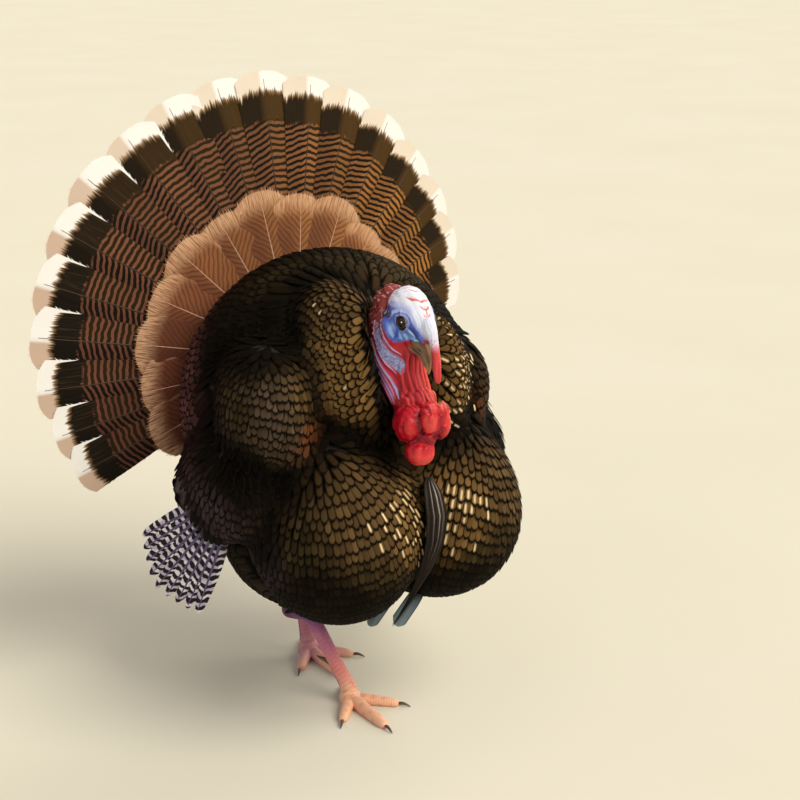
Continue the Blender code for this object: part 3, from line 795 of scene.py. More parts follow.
def build_skin():
    """One skin for trunk, head, neck, wattle, snood, legs and feet."""
    trunk = fused("skin", cad_copy(TRUNK_NODES), SKIN_CELL["trunk"], CREASE, 8, CREASE + COAT, rounding=1)
    under = Coat(trunk.data)
    head = build_head_skin()
    under.head = mesh_tree(head.data)
    shins = cad_copy(LEG_NODES)
    hocks(shins)
    legs = fused("leg_skin", shins, SKIN_CELL["leg"], 0.0008, 4, -0.0008, rounding=1)
    bare, shins = under.head, mesh_tree(legs.data)
    for other in (head, legs):
        mod = trunk.modifiers.new("join", "BOOLEAN")
        mod.operation, mod.solver, mod.object = "UNION", "MANIFOLD", other
    settled(trunk)
    drop_scraps(trunk.data)
    for other in (head, legs):
        old = other.data
        bpy.data.objects.remove(other)
        bpy.data.meshes.remove(old)
    mesh = trunk.data
    mesh.materials.clear()
    mesh.materials.append(skin_material())
    mesh.polygons.foreach_set("use_smooth", np.ones(len(mesh.polygons), bool))
    paint, finish = paint_skin(places(mesh), bare, shins)
    put_attribute(mesh, "Paint", "FLOAT_COLOR", "color", with_alpha(paint))
    put_attribute(mesh, "Finish", "FLOAT_VECTOR", "vector", np.repeat(finish[:, None], 3, 1))
    put_attribute(mesh, "Scutes", "FLOAT_VECTOR", "vector", leg_lie(places(mesh), shins))
    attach(trunk, "root")
    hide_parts(*TRUNK_NODES, *HEAD_NODES, *LEG_NODES)
    return under


def mesh_tree(mesh):
    return BVHTree.FromPolygons([v.co for v in mesh.vertices], [p.vertices for p in mesh.polygons])


def on_surface(points, tree):
    """1 for points lying on this surface."""
    return np.array([tree.find_nearest(p, 0.0002)[0] is not None for p in points], float)


def layer(base, share, colour):
    share = np.clip(share, 0, 1)[:, None]
    return base * (1 - share) + np.array(colour) * share


# strokes on the blue face, (back, up): path, width, share, colour
FACE_STROKES = (
    # creases under the eye, and the dark line from the eye to the bill
    (((5, -8.5), (7, -14.5), (5, -20)), 1.8, 0.8, (0.05, 0.11, 0.46)),
    (((-2, -9.5), (-8, -10.5), (-13, -16)), 1.6, 0.8, (0.05, 0.10, 0.42)),
    (((14, 10), (4, 10.5), (-6, 6.5), (-14, -2), (-18.5, -12)), 3.6, 0.7, (0.055, 0.095, 0.44)),
    (((-6, 0.5), (-12, -5), (-16.5, -13), (-19, -23)), 2.8, 0.95, (0.018, 0.030, 0.15)),
    (((-7, -4), (-11, -9), (-14.5, -16)), 1.5, 0.9, (0.50, 0.66, 0.92)),
    (((25, 10), (27, 0), (25.5, -10)), 2.6, 0.6, (0.14, 0.09, 0.42)),
    # pale arc over the eye
    (((20, 2), (13.5, 10), (4, 14), (-6, 12.5), (-12.5, 6)), 3.2, 0.95, (0.46, 0.56, 0.90)),
    # pale streaks down the cheek, with dark ones between
    (((16.5, -5), (16, -12), (13.5, -19)), 2, 0.85, (0.36, 0.56, 0.92)),
    (((7, -12), (7.5, -17), (6, -21)), 2, 0.85, (0.38, 0.60, 0.94)),
    (((-2, -12), (-3.5, -16.5), (-3, -20)), 1.8, 0.85, (0.40, 0.62, 0.95)),
    (((-9, -8), (-13.5, -14), (-16, -21)), 2, 0.85, (0.42, 0.62, 0.94)),
    (((12, -8.5), (11.5, -14.5), (9.5, -20)), 1.4, 0.85, (0.030, 0.075, 0.36)),
    (((2, -11), (1.5, -16), (1, -20.5)), 1.2, 0.80, (0.035, 0.085, 0.40)),
    (((-6, -10.5), (-8.5, -15), (-9.5, -19.5)), 1.2, 0.80, (0.035, 0.085, 0.40)),
    (((23, 1), (22.5, -7), (19.5, -15)), 1.6, 0.70, (0.10, 0.12, 0.50)),
)
CHEEK = ((4, -9), (-9, -6), (-18, -14), (-17, -22), (-6, -17), (6, -21), (12, -16))
HIND_CHEEK = ((14, 1), (20, -4), (21, -14), (15, -17), (12, -8))
WATTLE_LOBES = [LUMPS[i] for i in (0, 1, 2, -1)]


def paint_head(p):
    """Colours of the head and neck at places given in head millimetres, and how rough they are."""
    x, y, z = p.T
    side, flat = off_middle(x), p[:, 1:]
    speck = (np.sin(x * 2.3 + 2 * np.sin(y * 0.7)) * np.sin(y * 1.9 + 2.5 * np.sin(z * 0.61 + 1))
             * np.sin(z * 2.1 + 2 * np.sin(x * 0.83 + y * 0.3)))
    blotch = 0.5 + 0.5 * np.sin(x * 0.33 + 1) * np.sin(y * 0.29) * np.sin(z * 0.31 + 2)
    c = np.tile(np.array((0.48, 0.012, 0.022)), (len(p), 1))
    # throat: scarlet, more orange on the bird's left, crimson towards the nape
    c = layer(c, ease(x, -6, 14) * ease(z, -30, -55) * 0.8, (0.66, 0.070, 0.030))
    c = layer(c, blotch * 0.25, (0.62, 0.060, 0.060))
    c = layer(c, ease(y, 16, 36) * 0.8, (0.40, 0.016, 0.030))
    # painted highlight, lighter red, along the cords and on the fold ridges, and painted shade, dark crimson,
    # in the furrows
    for _, _, path in CORDS:
        c = layer(c, stroke(p, path, 6) * 0.30, (0.66, 0.060, 0.050))
    folds, throat = throat_folds(p), throat_share(p)
    c = layer(c, throat * ease(folds, 0.2, -0.6) * 0.85, (0.22, 0.006, 0.018))
    c = layer(c, throat * ease(folds, 0.45, 0.95) * 0.45, (0.76, 0.11, 0.085))
    # nape and hind crown: red with pale and dark streaks
    nape = ease(y, 22, 30) * ease(z, -20, -4)
    streaks = (np.sin(np.abs(x) * 1.5 + 1.1 * np.sin(y * 0.26 + z * 0.19))
               * (0.6 + 0.4 * np.sin(z * 0.42 - y * 0.38 + np.abs(x) * 0.8)))
    c = layer(c, nape * 0.75, (0.20, 0.038, 0.026))
    c = layer(c, nape * ease(streaks, 0.30, 0.75) * 0.65, (0.68, 0.34, 0.34))
    c = layer(c, nape * ease(streaks, -0.35, -0.80) * 0.60, (0.085, 0.014, 0.014))
    # lavender band with dark beads, and the pale folds
    band = neck_side(p)
    c = layer(c, band * 0.92, (0.27, 0.37, 0.62))
    c = layer(c, band * blotch * 0.4, (0.44, 0.34, 0.66))
    c = layer(c, band * ease(speck, -0.25, -0.45) * 0.6, (0.50, 0.62, 0.84))
    c = layer(c, band * ease(speck, 0.28, 0.42), (0.105, 0.030, 0.160))
    for path in SIDE_FURROWS:
        c = layer(c, stroke(p, path, 2, YZ) * side * 0.8, (0.46, 0.020, 0.050))
    for path, width, _, colour in SIDE_LINES:
        c = layer(c, stroke(p, path, width * 1.15, YZ) * side * 0.95, colour)
    # blue face
    face = inside(flat, BLUE_FACE, 2.2) * side
    c = layer(c, face, (0.075, 0.145, 0.56))
    c = layer(c, face * inside(flat, CHEEK, 6) * 0.75, (0.24, 0.44, 0.82))
    c = layer(c, face * inside(flat, HIND_CHEEK, 5) * 0.65, (0.28, 0.40, 0.80))
    for path, width, share, colour in FACE_STROKES:
        c = layer(c, face * stroke(p, path, width, YZ) * share, colour)
    # white crown and forehead, down to the root of the snood
    edge = np.interp(y, (-36, -24, -19, -8, 8, 18, 30), (-30, -23, -7, 11, 16, 17, 20))
    crown = ease(z - edge, -3.4, 3.4) * ease(y, 27, 22.5)
    c = layer(c, crown, (0.72, 0.75, 0.86))
    # painted shade: lavender in the troughs of the forehead wrinkles
    ridges = forehead_ridges(x, y) * ease(y, 0, -12) * ease(z, 14, 4)
    c = layer(c, crown * ease(ridges, -0.1, -0.8) * 0.55, (0.46, 0.52, 0.82))
    c = layer(c, crown * ease(z - edge, 9.5, 0) * 0.85, (0.30, 0.38, 0.80))
    # painted shade: more violet towards the back of the crown
    c = layer(c, crown * ease(y, 12, 24) * 0.5, (0.66, 0.62, 0.82))
    for width, path in CROWN_LINES:
        c = layer(c, crown * ease(z, 2, 8) * stroke(p, path, width, XY) * 0.95, (0.62, 0.085, 0.045))
    # rings round the eye from the outside in
    eye, on_side = np.hypot(y, z), np.abs(x) > 12
    for start, end, share, colour in (
        (12.5, 10.8, 0.55, (0.045, 0.085, 0.34)),
        (11.0, 9.8, 0.30 + 0.60 * ease(z, -3, 6), (0.30, 0.43, 0.76)),
        (9.1, 8.5, 0.92, (0.105, 0.052, 0.034)), (8.1, 7.7, 0.95, (0.020, 0.012, 0.012)),
    ):
        c = layer(c, ease(eye, start, end) * on_side * share, colour)
    # dark ear with pale ticks
    ear = np.hypot((y - 23.5) / 1.4, z - 7.5)
    c = layer(c, ease(ear, 7.5, 3.5) * side * 0.9, (0.020, 0.024, 0.110))
    for back, up in ((20.5, 8.5), (24, 10.5), (27.5, 7)):
        tick = stroke(p, ((back, up + 2.2), (back + 1.2, up - 2.2)), 0.9, YZ)
        c = layer(c, tick * side * 0.9, (0.52, 0.60, 0.86))
    # snood: white root, red dots, then coral red
    snood = ease(y, -24, -27) * ease(np.abs(x), 12, 9)
    c = layer(c, snood * ease(z, -17, -30), (0.58, 0.045, 0.050))
    dots = ease(speck, 0.05, 0.35) * ease(np.abs(z + 22), 13, 4)
    c = layer(c, snood * dots * 0.85, (0.64, 0.085, 0.070))
    c = layer(c, snood * ease(x, 1, 5) * ease(z, -22, -34) * 0.6, (0.74, 0.20, 0.14))
    # wattle: glossy scarlet; each front lobe has a painted highlight in its middle, and painted shade, dark
    # crimson, where one lobe meets the next
    wattle = ease(z, -86, -98) * ease(y, 30, 10)
    c = layer(c, wattle, (0.44, 0.004, 0.014))
    c = layer(c, wattle * ease(x, -2, 24) * 0.7, (0.58, 0.026, 0.014))
    near = np.sort([np.linalg.norm((p - at) / squash, axis=1) / r for at, r, squash in WATTLE_LOBES], axis=0)
    apart, low = near[1] - near[0], ease(z, -92, -100)
    c = layer(c, low * ease(apart, 0.85, 0.15) * 0.85, (0.17, 0.003, 0.013))
    c = layer(c, low * ease(y, -22, -38) * ease(apart, 0.7, 1.5) * 0.60, (0.78, 0.075, 0.060))
    return c, 0.38 - 0.14 * wattle


def leg_lie(points, leg_tree):
    """Place on the leg or toe: across it, along it, and 1 in front or on top, -1 behind, 0 off the legs."""
    lie = np.zeros((len(points), 3))
    legs = on_surface(points, leg_tree) > 0.5
    pads = {tag: np.array(middle(f"foot_pad_{tag}")) for tag in SIDES}
    nearest = np.argmin([np.linalg.norm((points - pads[tag])[:, :2] - (0, 0.02), axis=1) for tag in SIDES], 0)
    for k, tag in enumerate(SIDES):
        mine = np.where(legs & (nearest == k))[0]
        p, pad = points[mine], pads[tag]
        ahead = unit((np.array(middle(f"claw_middle_{tag}")) - pad) * (1, 1, 0))
        lateral = np.cross(ahead, (0, 0, 1.0))
        low, high = (p[(p[:, 2] > a) & (p[:, 2] < b)].mean(0) for a, b in ((0.030, 0.045), (0.095, 0.110)))
        axis = unit(high - low)
        off = p - low
        out = off - (off @ axis)[:, None] * axis
        shank = np.stack([out @ lateral, (off @ axis) * 0.62, np.where(out @ ahead > 0, 1.0, -1.0)], 1)
        best, toes = np.full(len(p), 1e9), np.zeros((len(p), 3))
        for toe in TOES:
            way = unit((np.array(middle(f"claw_{toe}_{tag}")) - pad) * (1, 1, 0))
            side = np.cross(way, (0, 0, 1.0))
            gone, wide = (p - pad) @ way, (p - pad) @ side
            miss = np.abs(wide) + np.maximum(0, -gone) * 2
            closer = miss < best
            best = np.where(closer, miss, best)
            # plates go right over the top of a toe, so the seam between the two rows is kept off it
            on_toe = np.stack([0.004 + np.abs(wide) * 0.3, gone, np.where(p[:, 2] > 0.0035, 1.0, -1.0)], 1)
            toes = np.where(closer[:, None], on_toe, toes)
        lie[mine] = np.where((p[:, 2] > 0.020)[:, None], shank, toes)
    return lie


def paint_skin(points, bare_tree, leg_tree):
    """Colour and roughness of the whole skin."""
    base = np.tile(np.array((0.010, 0.007, 0.0055)), (len(points), 1))
    finish = np.full(len(points), 0.95)
    z = points[:, 2]
    leg = on_surface(points, leg_tree)
    pink = np.tile(np.array((0.82, 0.47, 0.29)), (len(points), 1))
    pink = layer(pink, ease(z, 0.016, 0.050), (0.72, 0.24, 0.21))
    pink = layer(pink, ease(z, 0.050, 0.085), (0.52, 0.17, 0.27))
    pink = layer(pink, ease(z, 0.085, 0.120), (0.11, 0.045, 0.17))
    mottle = np.sin(points[:, 0] * 310 + 2 * np.sin(z * 170)) * np.sin(z * 230 + 1)
    mottle *= np.sin(points[:, 1] * 270)
    pink = layer(pink, ease(mottle, 0.10, 0.50) * ease(z, 0.060, 0.030) * 0.45, (0.70, 0.20, 0.17))
    # painted shade: the leg further back is darker and plum
    far_leg_shade_from = middle("foot_pad_left").y - 0.06
    pink = layer(pink, ease(points[:, 1], far_leg_shade_from, far_leg_shade_from + 0.04) * 0.60, (0.40, 0.13, 0.26))
    # the back of each shank is plum, and the hind toes are brown
    back = leg_lie(points, leg_tree)[:, 2] < 0
    pink = layer(pink, back * ease(z, 0.018, 0.030) * 0.75, (0.075, 0.020, 0.050))
    for tag in SIDES:
        pad, tip = (np.array(middle(f"{n}_{tag}")) for n in ("foot_pad", "claw_hind"))
        hind = (points - pad) @ unit((tip - pad) * (1, 1, 0))
        near = ease(np.linalg.norm(points - tip, axis=1), 0.034, 0.028)
        near *= ease(hind, 0.010, 0.015) * ease(z, 0.024, 0.019)
        pink = layer(pink, near * 0.9, (0.085, 0.036, 0.028))
    base = base * (1 - leg[:, None]) + pink * leg[:, None]
    finish = np.where(leg > 0.5, 0.42, finish)
    picked = on_surface(points, bare_tree) > 0.5
    base[picked], finish[picked] = paint_head(in_head(points[picked]))
    return base, finish


# --- feathers ---
def wound(face, side):
    """The face as it is, or with its corners the other way round."""
    return face if side > 0 else face[:1] + face[:0:-1]


def vane_template(cols, rows, fringe, seed, reach, side_fringe=0, shaft=0):
    """A flat feather to be bent: across, along, its shaft's own offset and height, then faces and slots."""
    dice = np.random.default_rng(seed)
    bm = bmesh.new()
    bmesh.ops.create_grid(bm, x_segments=cols, y_segments=rows, size=1)
    bm.verts.ensure_lookup_table()
    points = [(v.co.x, 1 - (0.5 - 0.5 * v.co.y) ** 1.25, 0, 0) for v in bm.verts]
    faces = [[v.index for v in f.verts] for f in bm.faces]
    bm.free()
    for k in range(fringe):
        mid, wide = -1 + 2 * (k + 0.5) / fringe, 0.8 / fringe
        tip = 1 + reach * dice.uniform(0.2, 1.0)
        n = len(points)
        points += [(mid - wide, 0.985, 0, 0), (mid + wide, 0.985, 0, 0),
                   (mid * 1.02 + dice.uniform(-wide, wide), tip, 0, 0)]
        faces.append([n, n + 1, n + 2])
    for side in (-1, 1):
        for k in range(side_fringe):
            low = 0.30 + 0.66 * (k + dice.uniform(0, 0.8)) / side_fringe
            out = side * (1 + dice.uniform(0.02, 0.07))
            n = len(points)
            points += [(side * 0.98, low, 0, 0), (side * 0.98, low + 0.012, 0, 0), (out, low + 0.035, 0, 0)]
            faces.append(wound([n, n + 1, n + 2], side))
    slots = [0] * len(faces)
    for up in (1, -1) if shaft else ():
        n = len(points)
        for i in range(shaft + 1):
            v = 0.97 * i / shaft
            points += [(0, v, -1, 0), (0, v, 0, up), (0, v, 1, 0)]
        for i in range(shaft):
            for j in (0, 1):
                a = n + 3 * i + j
                faces.append(wound([a, a + 1, a + 4, a + 3], up))
                slots.append(1)
    return {
        "uveh": np.array(points, float), "loops": np.array([i for f in faces for i in f]),
        "sizes": np.array([len(f) for f in faces]), "slots": np.array(slots),
    }


def widths(v, look):
    """Share of the full width along a feather: its root, the place where it is full, its tip."""
    if "fan" in look:
        wide = look["root"] + (1 - look["root"]) * np.clip(v, 0, 1.02)
    else:
        wide = look["root"] + (1 - look["root"]) * np.sin(np.clip(v / look["full"], 0, 1) * np.pi / 2)
    return wide * (1 - look.get("taper", 0.0) * np.clip((v - 0.5) / 0.5, 0, 1) ** 1.4)


FEATHER = ("bottom", "bend", "tip", "facing", "facing_tip", "side", "half", "tint", "odd")


def stacked(feathers):
    """Feathers told one by one in the order of FEATHER, as one array for each key."""
    return {key: np.array([f[i] for f in feathers], float) for i, key in enumerate(FEATHER)}


def tilted(side, facing, degrees):
    """A feather's sideways direction turned about its shaft."""
    turn = math.radians(degrees)
    return (side * math.cos(turn) + facing * math.sin(turn)).normalized()


def grow_vanes(name, template, rows, materials, look):
    """Many feathers as one mesh.

    rows holds arrays with one entry a feather: bottom, bend and tip points of the centre line, facing at
    bottom and tip, sideways direction, half width, tint, odd (a number 0..1), bake place and bake size.
    look holds what they share: root and full of the width, round and power of the tip, cup, fold, thick.
    """
    u, v, e, h = template["uveh"].T
    count, size = len(rows["bottom"]), len(u)
    half, odd = rows["half"][:, None], rows["odd"][:, None]
    t = (v - look["round"] * np.abs(u) ** look["power"] * np.clip(v, 0, 1) ** 3)[None, :, None]
    p0, p1, p2 = (rows[k][:, None, :] for k in ("bottom", "bend", "tip"))
    centre = (1 - t) ** 2 * p0 + 2 * t * (1 - t) * p1 + t * t * p2
    facing = unit(rows["facing"][:, None, :] * (1 - t) + rows["facing_tip"][:, None, :] * t)
    wide = half * widths(v, look)
    thick = look["thick"] * (1 - 0.85 * np.clip(v, 0, 1))
    x = wide * u + e * thick
    ripple = look.get("ripple", 0.0) * np.sin(v * 23 + odd * 40 + u * 2.5) * np.abs(u)
    lift = h * thick + ripple - look["cup"] * wide * u**2 - look["fold"] * wide * np.abs(u)
    points = centre + rows["side"][:, None, :] * x[:, :, None] + facing * lift[:, :, None]
    loops = (template["loops"] + (np.arange(count) * size)[:, None]).ravel()
    starts = np.concatenate([[0], np.cumsum(np.tile(template["sizes"], count))[:-1]])
    slots = np.tile(template["slots"], count)
    piece = write_mesh(name, points.reshape(-1, 3), loops, starts, materials, slots)
    mesh = piece.data
    long = np.linalg.norm(rows["tip"] - rows["bottom"], axis=1)[:, None]
    lie = np.stack([x, long * t[:, :, 0], np.repeat(odd, size, 1)], 2)
    put_attribute(mesh, "Lie", "FLOAT_VECTOR", "vector", lie)
    for key in {"tint", "band"} & rows.keys():
        put_attribute(mesh, key.title(), "FLOAT_COLOR", "color", with_alpha(np.repeat(rows[key], size, 0)))
    if "glint" in rows:
        put_attribute(mesh, "Glint", "FLOAT", "value", np.repeat(rows["glint"], size))
    flat = np.stack([np.clip(u, -1, 1) * 0.5 + 0.5, np.clip(v, 0, 1)], 1)
    corner = np.tile(flat, (count, 1))[loops]
    put_map(mesh, "Vane", corner)
    spot, extent = (np.repeat(rows[key], size, 0)[loops] for key in ("bake", "bake_size"))
    put_map(mesh, "OFBake", spot + corner * extent)
    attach(piece, "root")
    return piece


CONTOUR_LOOK = {
    "root": 0.45, "full": 0.55, "round": 0.30, "power": 2.2, "cup": 0.22, "fold": 0.0, "thick": 0.0,
}
PATCH = 0.003  # side of a small feather's patch on the bake map
BARE_GAP = 0.0035  # feathers keep this far from bare skin
LOBE_GAP = 0.0022  # and their roots this far from the next lobe


class Coat:
    """Sows rows of feathers over one lobe of the body after another."""

    def __init__(self, mesh):
        self.tree, self.points, self.made = mesh_tree(mesh), places(mesh), []
        self.normals = smooth_normals(mesh)
        self.trees = {n: tree_of([n]) for n in TRUNK_NODES}
        self.bare = tree_of(["neck", "caruncles", "head"])

    def on_skin(self, point):
        spot, normal, face, _ = self.tree.find_nearest(point)
        return spot, self.normals(spot, face, normal)

    def sow(self, lobe, pole, step, across, length, half, height, tint, chart):
        """Rows from the pole down, in millimetres: step between rows, across between feathers of a row."""
        step, across, length, half, height = (m * MM for m in (step, across, length, half, height))
        low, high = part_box(lobe)
        centre, radii = (low + high) / 2, (high - low) / 2
        mean = (radii.x + radii.y + radii.z) / 3
        pole = Vector((pole[0] / radii.x, pole[1] / radii.y, pole[2] / radii.z)) * mean
        pole.normalize()
        e1 = pole.orthogonal().normalized()
        e2 = pole.cross(e1)
        rows, made = math.ceil(math.pi * mean / step), []
        for i in range(rows):
            theta = math.pi * (i + 0.5) / rows
            count = max(1, round(math.tau * mean * math.sin(theta) / across))
            for j in range(count):
                phi = math.tau * (j + 0.5 * (i % 2) + rng.uniform(-0.12, 0.12)) / count
                th = theta + rng.uniform(-0.10, 0.10) * step / mean
                ring = e1 * math.cos(phi) + e2 * math.sin(phi)
                way = pole * math.cos(th) + ring * math.sin(th)
                down = ring * math.cos(th) - pole * math.sin(th)
                way, down = (Vector((a.x * radii.x, a.y * radii.y, a.z * radii.z)) / mean
                             for a in (way, down))
                way.normalize()
                hit, normal, _, _ = self.trees[lobe].ray_cast(centre + way * 0.6, -way, 0.62)
                if hit is None or normal.dot(way) < 0.15:
                    continue
                if self.crowded(hit, lobe) or self.close_to_bare(hit):
                    continue
                grown = self.feather(hit, down, length * rng.uniform(0.92, 1.08), height)
                if grown is None or any(self.close_to_bare(p) for p in grown[:3]):
                    continue
                spot = (chart[0] + chart[2] * phi / math.tau % chart[2], chart[1] + chart[3] * th / math.pi)
                made.append((*grown, half * rng.uniform(0.93, 1.07), tint(hit), rng.uniform(), spot))
        self.made += made
        return made

    def fill(self):
        """Feathers for the spots the rows have left bare, lying as their neighbours do."""
        cell, reach = 0.008, 0.0115  # one feather to a cell, and only where none is within reach
        roots, tips = (np.array([m[i] for m in self.made], float) for i in (0, 2))
        lie = unit(tips - roots)
        near = point_tree(np.concatenate([roots + (tips - roots) * t for t in (0.1, 0.4, 0.7, 0.95)]))
        heart, made, taken = Vector(self.points.mean(0)), [], set()
        for i in rng.permutation(len(self.points)):
            spot = Vector(self.points[i])
            key = tuple(np.round(self.points[i] / cell).astype(int))
            if key in taken or near.find(spot)[2] < reach:
                continue
            down = Vector(np.mean([lie[j % len(lie)] for _, j, _ in near.find_n(spot, 6)], axis=0))
            if down.length < 0.3:
                continue
            down.normalize()
            grown = self.feather(spot - down * 0.010, down, 0.032 * rng.uniform(0.9, 1.1), COAT)
            if grown is None or any(self.by_bare(p) for p in (spot, *grown[:3])):
                continue
            taken.add(key)
            way = (spot - heart).normalized()
            place = (0.98 * (math.atan2(way.x, way.y) / math.tau + 0.5), 0.98 * math.acos(way.z) / math.pi)
            made.append((*grown, 0.0064 * rng.uniform(0.93, 1.07), plumage(spot) * 0.5, rng.uniform(), place))
        return made

    def crowded(self, point, lobe):
        return any(t.find_nearest(point, LOBE_GAP)[0] is not None for n, t in self.trees.items() if n != lobe)

    def close_to_bare(self, point):
        return self.bare.find_nearest(point, BARE_GAP)[0] is not None

    def by_bare(self, point):
        """Whether this place is inside the head and neck or right beside them."""
        hit, normal, _, away = self.bare.find_nearest(point)
        return away < BARE_GAP or (point - hit).dot(normal) < 0

    def feather(self, point, down, length, height):
        """Centre line of a feather with its root on the skin under point and its tip on top of the coat."""
        root, n0 = self.on_skin(point)
        a = down - n0 * down.dot(n0)
        if a.length < 1e-4:
            return None
        a.normalize()
        end, n2 = self.on_skin(root + a * length)
        if (end - root).length < length * 0.45:
            return None
        tip, upward = end + n2 * height, (n0 + n2).normalized()
        side = (tip - root).cross(upward).normalized()
        bend = (root + tip) / 2 + upward * (height * 0.32 + 0.055 * length)
        return root, bend, tip, n0, n2, side


def smooth_normals(mesh):
    """Normals blended between a face's corners."""
    corner = [v.normal.copy() for v in mesh.vertices]
    spots = [v.co.copy() for v in mesh.vertices]
    faces = [tuple(p.vertices) for p in mesh.polygons]

    def at(point, face, fallback):
        total = Vector((0, 0, 0))
        for i in faces[face]:
            total += corner[i] / max((spots[i] - point).length, 1e-5)
        return total.normalized() if total.length > 1e-6 else fallback

    return at


def packed(made):
    """Small feathers turned into arrays, with their patches on the bake map and their glints."""
    rows = stacked(made)
    rows["bake"] = np.array([m[-1] for m in made])
    rows["bake_size"] = np.full((len(made), 2), PATCH)
    rows["glint"] = np.array([glint_at(Vector(m[0])) for m in made])
    return rows


TONES = {
    "black": (0.0060, 0.0042, 0.0018), "olive": (0.034, 0.022, 0.0080), "brown": (0.082, 0.048, 0.018),
    "bronze": (0.150, 0.084, 0.027), "copper": (0.17, 0.055, 0.018), "maroon": (0.092, 0.034, 0.034),
    "plum": (0.034, 0.021, 0.025), "grey": (0.066, 0.044, 0.027),
}
# where each tone lies on both sides of the body: out from the middle, back and up in millimetres, reach; the
# black low on the body and in the creases between lobes is partly painted shade
TONE_SPOTS = (
    ("bronze", 50, 0, 360, 1), ("bronze", 40, -20, 310, 1), ("brown", 100, 30, 400, 1),
    ("brown", 120, -4, 350, 1.2), ("olive", 170, 30, 330, 1), ("olive", 110, -30, 290, 0.8),
    ("black", 100, -10, 205, 1.6), ("black", 168, 18, 262, 1.2), ("black", 40, 20, 205, 1.4),
    ("olive", 60, -32, 278, 0.8), ("black", 60, -30, 240, 1.3), ("black", 130, -15, 250, 1.2),
    ("brown", 74, 89, 595, 0.8), ("bronze", 82, 55, 540, 1.1), ("bronze", 70, 35, 475, 1),
    ("brown", 110, 85, 530, 0.8), ("black", 60, 50, 430, 0.8), ("black", 88, 62, 432, 0.7),
    ("black", 164, 130, 545, 1), ("grey", 185, 77, 493, 1), ("grey", 178, 60, 450, 1),
    ("copper", 125, 68, 448, 0.6), ("olive", 208, 110, 489, 0.7), ("brown", 140, 75, 500, 0.8),
    ("black", 200, 110, 400, 1.2), ("black", 155, 85, 385, 0.7), ("plum", 235, 140, 350, 1),
    ("plum", 195, 100, 290, 0.9), ("black", 180, 80, 220, 1), ("maroon", 188, 290, 520, 1),
    ("maroon", 212, 250, 440, 1), ("maroon", 195, 260, 350, 0.9), ("black", 43, 233, 618, 1.2),
    ("olive", 60, 170, 600, 0.8), ("black", 147, 200, 561, 1.2), ("black", 117, 140, 546, 1),
    ("black", 0, 330, 500, 1), ("black", 100, 300, 300, 1), ("olive", 0, 100, 480, 0.8),
)
SPOT_PLACES = np.array([spot[1:4] for spot in TONE_SPOTS])
SPOT_REACH = np.array([spot[4] for spot in TONE_SPOTS])
SPOT_TONES = np.array([TONES[spot[0]] for spot in TONE_SPOTS])


def plumage(point):
    """Tone of the plumage at a place, with painted shade low on the body and between lobes, a little
    different from feather to feather.
    """
    away = SPOT_PLACES - np.array((abs(point.x - MID_X), point.y - START_Y, point.z)) / MM
    share = (SPOT_REACH / np.maximum(np.linalg.norm(away, axis=1), 2)) ** 4
    return (share[:, None] * SPOT_TONES).sum(0) / share.sum() * rng.uniform(0.70, 1.30)


# where feathers get a painted highlight, a cream streak: across, back, up and reach in millimetres, how many
# of them
GLINTS = (
    (-45, -2, 366, 24, 1), (-24, -6, 336, 26, 1.2), (-72, -20, 346, 24, 0.9), (-6, -4, 300, 18, 0.8),
    (-70, 85, 596, 20, 0.22), (-72, 40, 478, 26, 0.1), (-125, 70, 446, 14, 0.15),
    (-80, 10, 520, 26, 0.08), (40, -2, 362, 24, 1.2), (20, -6, 330, 26, 1.2), (75, -10, 350, 20, 0.5),
    (82, 55, 540, 30, 1.1), (72, 40, 490, 34, 1.1), (100, 75, 510, 34, 1), (60, 30, 440, 26, 0.7),
)


def glint_at(point):
    """0 for most feathers, up to 1 for those with a painted highlight."""
    chance = max(n * math.exp(-((point - bird(x * MM, y * MM, z * MM)).length / (reach * MM)) ** 2)
                 for x, y, z, reach, n in GLINTS)
    return rng.uniform(0.5, 1.0) * (rng.uniform() < chance)


# feathers within reach of the next lobe get painted shade, down to this share of their tone
FOLD_SHADE = {"reach": 0.046, "darkest": 0.10}


def crease_shaded(coat, lobe):
    """The plumage's tone with painted shade close to the neighbouring lobes."""
    others = [t for n, t in coat.trees.items() if n != lobe]
    reach, darkest = FOLD_SHADE["reach"], FOLD_SHADE["darkest"]

    def tint(point):
        nearest = min([t.find_nearest(point, reach)[3] or reach for t in others])
        return plumage(point) * (darkest + (1 - darkest) * float(ease(nearest, 0.0, reach)))

    return tint


def between(share, low, high):
    return np.array(low) * (1 - share) + np.array(high) * share


def belly_tint(point):
    return np.array((0.018, 0.013, 0.008)) * rng.uniform(0.6, 1.4)


def rump_tint(point):
    """Dark bronze with chestnut, as the under tail coverts are."""
    rust = float(ease(point.z, 0.30, 0.44))
    return between(rust, (0.030, 0.018, 0.010), (0.13, 0.045, 0.018)) * rng.uniform(0.7, 1.3)


def folded_tint(point):
    return np.array((0.030, 0.019, 0.022)) * rng.uniform(0.75, 1.25)


COAT_MM = COAT / MM
